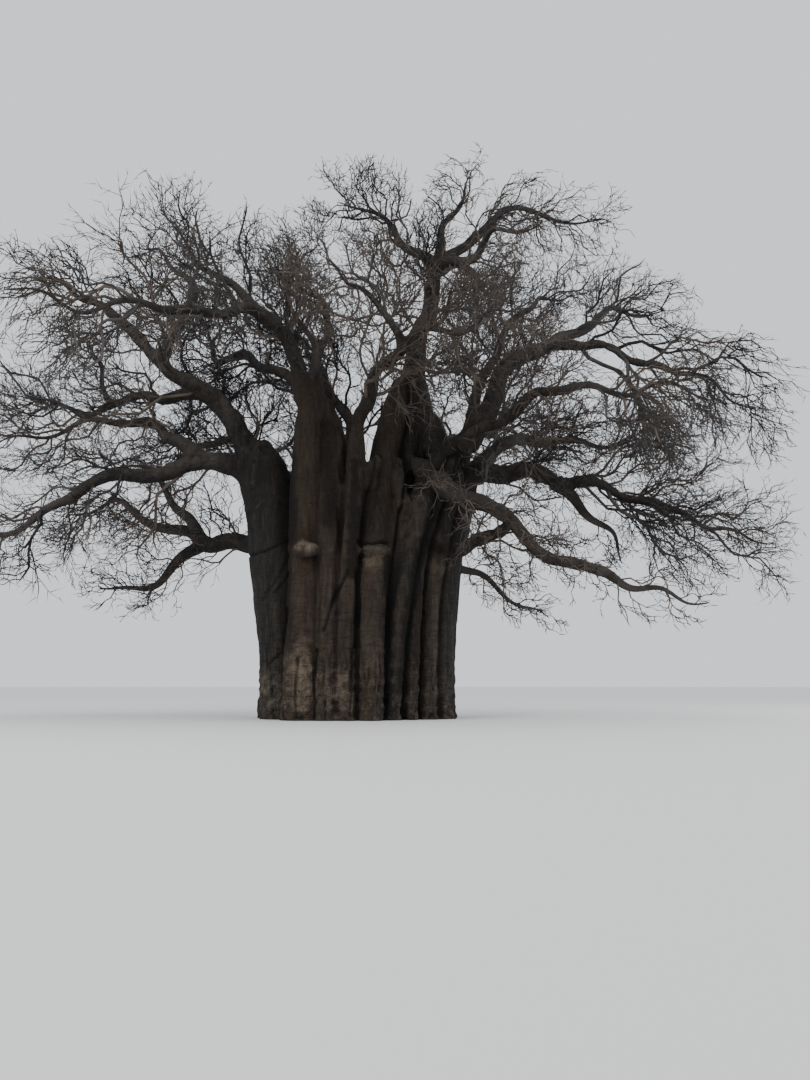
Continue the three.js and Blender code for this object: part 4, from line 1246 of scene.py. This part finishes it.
class Materials:
    """Makes each of the tree's materials from the chosen colours."""

    def __init__(self, colours):
        self.colours = colours

    def start(self, name, roughness):
        """A dull material, the maker of its nodes and its shader."""
        material = bpy.data.materials.new(name)
        material.use_nodes = True
        nodes = material.node_tree.nodes
        nodes.clear()
        output = nodes.new("ShaderNodeOutputMaterial")
        shader = nodes.new("ShaderNodeBsdfPrincipled")
        shader.inputs["Roughness"].default_value = roughness
        shader.inputs["Specular IOR Level"].default_value = DULLNESS
        material.node_tree.links.new(shader.outputs["BSDF"], output.inputs["Surface"])
        return material, NodeMaker(nodes, material.node_tree.links), shader

    def column_colour(self, make):
        """Brown and grey columns with light and dark fibres and dark stains. The brown colour is also the
        lighter one, so the warm share paints light on lit columns and shade on shaded ones.
        """
        colours = self.colours
        blotches = make.noise(0.6, (1, 1, 0.5), detail=4, roughness=0.6)
        # The warm share: the bark's own brown tone, and painted light on the lit columns.
        warm = make.add(make.attribute("warm"), make.spread(blotches, 0.35, 0.65, -0.3, 0.3))
        base = make.blend(make.spread(warm, 0.1, 0.9), colours.trunk_cool, colours.trunk_warm)
        fibres = make.noise(5.0, (1.6, 1.6, 0.2), detail=6, roughness=0.65, shift=3, distortion=0.6)
        base = make.blend(make.spread(fibres, 0.5, 0.72, 0, 0.5), base, colours.streak)
        base = make.blend(make.spread(fibres, 0.5, 0.3, 0, 0.5), base, colours.furrow)
        stains = make.noise(1.1, (1.3, 1.3, 0.3), detail=5, roughness=0.65, shift=7)
        return make.blend(make.spread(stains, 0.52, 0.72, 0, 0.65), base, colours.furrow)

    def bough_colour(self, make, chips):
        """Grey boughs mottled with lighter and darker chips."""
        colours = self.colours
        base = make.blend(make.spread(chips, 0.46, 0.66, 0, 0.5), colours.bough, colours.streak)
        return make.blend(make.spread(chips, 0.48, 0.36, 0, 0.5), base, colours.furrow)

    def bark(self, name):
        """Thick bark with pale worn places and one painted highlight, lighter ridges and painted light on
        the tops of the boughs, dark rings, and painted shade in hollows, furrows and creases, under the
        boughs and in shaded bands.
        """
        colours = self.colours
        material, make, shader = self.start(name, roughness=0.9)
        height = make.height()
        chips = make.noise(3.4, (1, 1, 0.75), detail=6, roughness=0.7)
        wrinkles = make.noise(2.4, (0.8, 0.8, 5.0), detail=5, roughness=0.6, distortion=0.8)
        base = make.blend(make.attribute("bough"), self.column_colour(make), self.bough_colour(make, chips))
        low = make.multiply(make.spread(height, 2.6, 0.4), make.spread(chips, 0.5, 0.66))
        # Pale worn places, one of them a painted highlight down a column's edge.
        worn = make.multiply(make.attribute("worn"), make.spread(chips, 0.34, 0.56))
        base = make.blend(make.add(make.multiply(low, 0.4), worn), base, colours.worn)
        # Lighter ridges, and painted light on the tops of the boughs.
        base = make.blend(make.multiply(make.attribute("ridge"), 0.4), base, colours.streak)
        # Painted shade in the hollows and under the boughs.
        hollow_and_underside_shade = make.multiply(make.attribute("hollow"), 0.8)
        rings = make.multiply(make.spread(wrinkles, 0.46, 0.36), make.spread(height, 6.5, 2.0, 0.15, 0.6))
        dark = make.multiply(make.attribute("dark"), 0.9)
        # Painted shade in the hollows and under the boughs, in the shaded bands and towards the trunk's top,
        # and in furrows and creases; the rings are dark wrinkles in the bark.
        for share in (hollow_and_underside_shade, rings, dark, make.attribute("furrow")):
            base = make.blend(share, base, colours.furrow)
        make.links.new(base, shader.inputs["Base Color"])
        make.links.new(self.bark_bumps(make, height, wrinkles), shader.inputs["Normal"])
        return material

    def bark_bumps(self, make, height, wrinkles):
        """The finest relief: ropes, wrinkles, cracked plates near the ground, and grain."""
        ropes = make.noise(3.0, (1.6, 1.6, 0.25), detail=6, roughness=0.6, distortion=0.8)
        plates = make.multiply(make.spread(height, 3.0, 0.3, 0.1, 1), make.cracks(3.6, (1, 1, 0.7), 0.1))
        grain = make.noise(13.0, (1, 1, 0.6), detail=6, roughness=0.7)
        normal = make.bump(ropes, distance=0.2, strength=0.8)
        normal = make.bump(wrinkles, distance=0.1, strength=0.9, under=normal)
        normal = make.bump(plates, distance=0.06, strength=0.7, under=normal)
        return make.bump(grain, distance=0.05, strength=0.6, under=normal)

    def twigs(self, name, colour):
        """Dull twigs, a little lighter and darker in places."""
        material, make, shader = self.start(name, roughness=0.85)
        blotches = make.noise(1.4, (1, 1, 1), detail=3)
        darker, lighter = (tuple(np.array(colour) * share) for share in (0.75, 1.25))
        base = make.blend(make.spread(blotches, 0.38, 0.62), darker, lighter)
        make.links.new(base, shader.inputs["Base Color"])
        grain = make.noise(30.0, (1, 1, 1), detail=3)
        make.links.new(make.bump(grain, distance=0.01, strength=0.5), shader.inputs["Normal"])
        return material

    def all_twigs(self):
        """The stems' bark and the three kinds of twigs."""
        colours = self.colours
        return [
            self.twigs("stems", colours.bough),
            self.twigs("dark twigs", colours.twig_dark),
            self.twigs("grey twigs", colours.twig_grey),
            self.twigs("brown twigs", colours.twig_brown),
        ]


class NodeMaker:
    """Adds shader nodes to one material. Each method gives back the new node's output."""

    def __init__(self, nodes, links):
        self.nodes = nodes
        self.links = links

    def node(self, kind, inputs, **settings):
        """A new node with its settings, and with plain values or other nodes' outputs in its sockets."""
        node = self.nodes.new(kind)
        for name, value in settings.items():
            setattr(node, name, value)
        for name, value in inputs.items():
            if isinstance(value, bpy.types.NodeSocket):
                self.links.new(value, node.inputs[name])
            else:
                node.inputs[name].default_value = value
        return node

    def own_metres(self):
        return self.node("ShaderNodeTexCoord", {}).outputs["Object"]

    def place(self, stretch, shift):
        """The object's own metres, stretched along each axis."""
        inputs = {"Vector": self.own_metres(), "Scale": stretch, "Location": (shift, shift, shift)}
        return self.node("ShaderNodeMapping", inputs).outputs["Vector"]

    def height(self):
        return self.node("ShaderNodeSeparateXYZ", {"Vector": self.own_metres()}).outputs["Z"]

    def attribute(self, name):
        return self.node("ShaderNodeAttribute", {}, attribute_name=name).outputs["Fac"]

    def noise(self, scale, stretch, detail, roughness=0.55, shift=0.0, distortion=0.0):
        inputs = {"Vector": self.place(stretch, shift), "Scale": scale, "Detail": detail}
        inputs |= {"Roughness": roughness, "Distortion": distortion}
        return self.node("ShaderNodeTexNoise", inputs).outputs["Fac"]

    def cracks(self, scale, stretch, width):
        """Plates with cracks between them: 0 in a crack and 1 on a plate."""
        inputs = {"Vector": self.place(stretch, 0.0), "Scale": scale}
        node = self.node("ShaderNodeTexVoronoi", inputs, feature="DISTANCE_TO_EDGE")
        return self.spread(node.outputs["Distance"], 0, width)

    def spread(self, value, low, high, to_low=0.0, to_high=1.0):
        """Cuts a value to the part between two limits and spreads it over another range."""
        inputs = {"Value": value, "From Min": low, "From Max": high, "To Min": to_low, "To Max": to_high}
        return self.node("ShaderNodeMapRange", inputs).outputs["Result"]

    def add(self, first, second):
        inputs = {0: first, 1: second}
        return self.node("ShaderNodeMath", inputs, operation="ADD", use_clamp=True).outputs[0]

    def multiply(self, first, second):
        return self.node("ShaderNodeMath", {0: first, 1: second}, operation="MULTIPLY").outputs[0]

    def blend(self, share, first, second):
        """Mixes two colours, each a plain colour or another node's output."""
        inputs = {"Factor": share}
        for socket, value in ((6, first), (7, second)):
            inputs[socket] = value if isinstance(value, bpy.types.NodeSocket) else (*value, 1)
        return self.node("ShaderNodeMix", inputs, data_type="RGBA").outputs[2]

    def bump(self, height, distance, strength, under=None):
        """The normal over a height, on top of the normal of another bump."""
        inputs = {"Height": height, "Distance": distance, "Strength": strength}
        if under is not None:
            inputs["Normal"] = under
        return self.node("ShaderNodeBump", inputs).outputs["Normal"]


# Stage

# The photograph's view, with its lengths in pixels: the horizon lies below the middle of the picture.
EYE = (1.85, -37.5, 1.25)
PICTURE_HEIGHT = 1080
HORIZON_BELOW_MIDDLE = 145
FOCAL_LENGTH = 964
SENSOR = 36  # millimetres
FAR_LIMIT = 1000  # metres that the camera sees

FLOOR_RADIUS = 600
FLOOR_SIDES = 96
FLOOR_ROUGHNESS = 0.9
SKY_STRENGTH = 1.1
LIGHTS = {
    "key light": dict(place=(-26, -34, 34), target=(0, 0, 9), size=20, power=9000),
    "side light": dict(place=(44, -4, 20), target=(0, 0, 7), size=16, power=8000),
}


def make_camera():
    camera = bpy.data.objects.new("camera", bpy.data.cameras.new("camera"))
    camera.data.lens = SENSOR * FOCAL_LENGTH / PICTURE_HEIGHT
    camera.data.clip_end = FAR_LIMIT
    camera.location = EYE
    camera.rotation_euler = (math.pi / 2 + math.atan(HORIZON_BELOW_MIDDLE / FOCAL_LENGTH), 0, 0)
    bpy.context.scene.collection.objects.link(camera)
    bpy.context.scene.camera = camera


def make_light(name, place, target, size, power):
    light = bpy.data.objects.new(name, bpy.data.lights.new(name, "AREA"))
    light.data.size = size
    light.data.energy = power
    light.location = place
    light.rotation_euler = (Vector(target) - Vector(place)).to_track_quat("-Z", "Y").to_euler()
    bpy.context.scene.collection.objects.link(light)


def make_floor(colour):
    """A wide, plain, round floor."""
    shape = bmesh.new()
    bmesh.ops.create_circle(shape, cap_ends=True, segments=FLOOR_SIDES, radius=FLOOR_RADIUS)
    mesh = bpy.data.meshes.new("floor")
    shape.to_mesh(mesh)
    shape.free()
    floor = bpy.data.objects.new("floor", mesh)
    bpy.context.scene.collection.objects.link(floor)
    material = bpy.data.materials.new("floor")
    material.use_nodes = True
    shader = material.node_tree.nodes["Principled BSDF"]
    shader.inputs["Base Color"].default_value = (*colour, 1)
    shader.inputs["Roughness"].default_value = FLOOR_ROUGHNESS
    mesh.materials.append(material)
    floor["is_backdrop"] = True


def make_world(colour):
    """Even light from all round."""
    world = bpy.data.worlds.new("studio")
    world.use_nodes = True
    background = world.node_tree.nodes["Background"]
    background.inputs["Color"].default_value = (*colour, 1)
    background.inputs["Strength"].default_value = SKY_STRENGTH
    bpy.context.scene.world = world


# The add-on


def colour_property(name, description, default):
    return bpy.props.FloatVectorProperty(
        name=name, description=description, default=default, subtype="COLOR", size=3, min=0, max=1
    )


class BaobabSizes(bpy.types.PropertyGroup):
    skin_step: bpy.props.FloatProperty(
        name="Skin step", description="Size of the faces of the bark", default=0.077, min=0.02, unit="LENGTH"
    )
    relief_depth: bpy.props.FloatProperty(
        name="Relief depth", description="Depth of the bark's relief, where 1 is the real one's", default=1.0
    )


class BaobabColours(bpy.types.PropertyGroup):
    trunk_cool: colour_property("Trunk, cool", "Grey bark", (0.026, 0.0235, 0.022))
    # The warm colour is browner and lighter than the cool one: columns take more of it for their own tone,
    # and as painted light where they stand lit.
    trunk_warm: colour_property("Trunk, warm", "Brown bark", (0.052, 0.0365, 0.0255))
    bough: colour_property("Bough", "Bark of the boughs", (0.043, 0.037, 0.0335))
    # The streak colour is also the lighter ridges and the painted light on the tops of the boughs.
    streak: colour_property("Streak", "Lighter streaks down the bark", (0.085, 0.07, 0.055))
    # The pale worn colour is also one painted highlight down a column's edge.
    worn: colour_property("Worn", "Pale worn bark", (0.21, 0.163, 0.118))
    # The furrow colour is the bark's dark fibres, stains and chips, and also the painted shade in furrows,
    # creases, hollows, shaded bands and under the boughs.
    furrow: colour_property("Furrow", "Dark furrows, stains and pits", (0.008, 0.0067, 0.006))
    twig_dark: colour_property("Twig, dark", "Dark twigs", (0.03, 0.027, 0.027))
    twig_grey: colour_property("Twig, grey", "Grey twigs", (0.066, 0.059, 0.055))
    twig_brown: colour_property("Twig, brown", "Brown twigs", (0.095, 0.076, 0.063))
    floor: colour_property("Floor", "The plain floor", (0.8, 0.79, 0.77))
    backdrop: colour_property("Backdrop", "Light all round", (0.88, 0.92, 0.97))


def chosen_materials():
    return Materials(bpy.context.scene.baobab_colours)


class BAOBAB_OT_bark(bpy.types.Operator):
    """Makes the bark of the trunk and of the boughs"""

    bl_idname = "baobab.bark"
    bl_label = "Bark"

    def execute(self, context):
        make_bark(context.scene.baobab_sizes, chosen_materials())
        return {"FINISHED"}


class BAOBAB_OT_twigs(bpy.types.Operator):
    """Makes the masses of bare twigs"""

    bl_idname = "baobab.twigs"
    bl_label = "Twigs"

    def execute(self, context):
        make_twigs(chosen_materials())
        return {"FINISHED"}


class BAOBAB_OT_stage(bpy.types.Operator):
    """Makes the floor, the soft light and the camera"""

    bl_idname = "baobab.stage"
    bl_label = "Stage"

    def execute(self, context):
        colours = context.scene.baobab_colours
        make_floor(colours.floor)
        make_world(colours.backdrop)
        for name, row in LIGHTS.items():
            make_light(name, **row)
        make_camera()
        return {"FINISHED"}


PIECE_OPERATORS = (BAOBAB_OT_bark, BAOBAB_OT_twigs, BAOBAB_OT_stage)


class BAOBAB_PT_panel(bpy.types.Panel):
    """Lists the tree's sizes, colours and pieces"""

    bl_idname = "BAOBAB_PT_panel"
    bl_label = "Bare Baobab"
    bl_space_type = "VIEW_3D"
    bl_region_type = "UI"
    bl_category = "Baobab"

    def draw(self, context):
        for group in (context.scene.baobab_sizes, context.scene.baobab_colours):
            for name in group.__annotations__:
                self.layout.prop(group, name)
        for operator in PIECE_OPERATORS:
            self.layout.operator(operator.bl_idname)


CLASSES = (BaobabSizes, BaobabColours, *PIECE_OPERATORS, BAOBAB_PT_panel)


def register():
    for item in CLASSES:
        bpy.utils.register_class(item)
    bpy.types.Scene.baobab_sizes = bpy.props.PointerProperty(type=BaobabSizes)
    bpy.types.Scene.baobab_colours = bpy.props.PointerProperty(type=BaobabColours)


def unregister():
    del bpy.types.Scene.baobab_colours
    del bpy.types.Scene.baobab_sizes
    for item in reversed(CLASSES):
        bpy.utils.unregister_class(item)


def main():
    register()
    bpy.ops.baobab.bark()
    bpy.ops.baobab.twigs()
    bpy.ops.baobab.stage()
    boxes = {"cad": CAD_BOX, "visual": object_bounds()}
    sizes = {name: [list(corner) for corner in box] for name, box in boxes.items()}


if __name__ == "__main__":
    main()
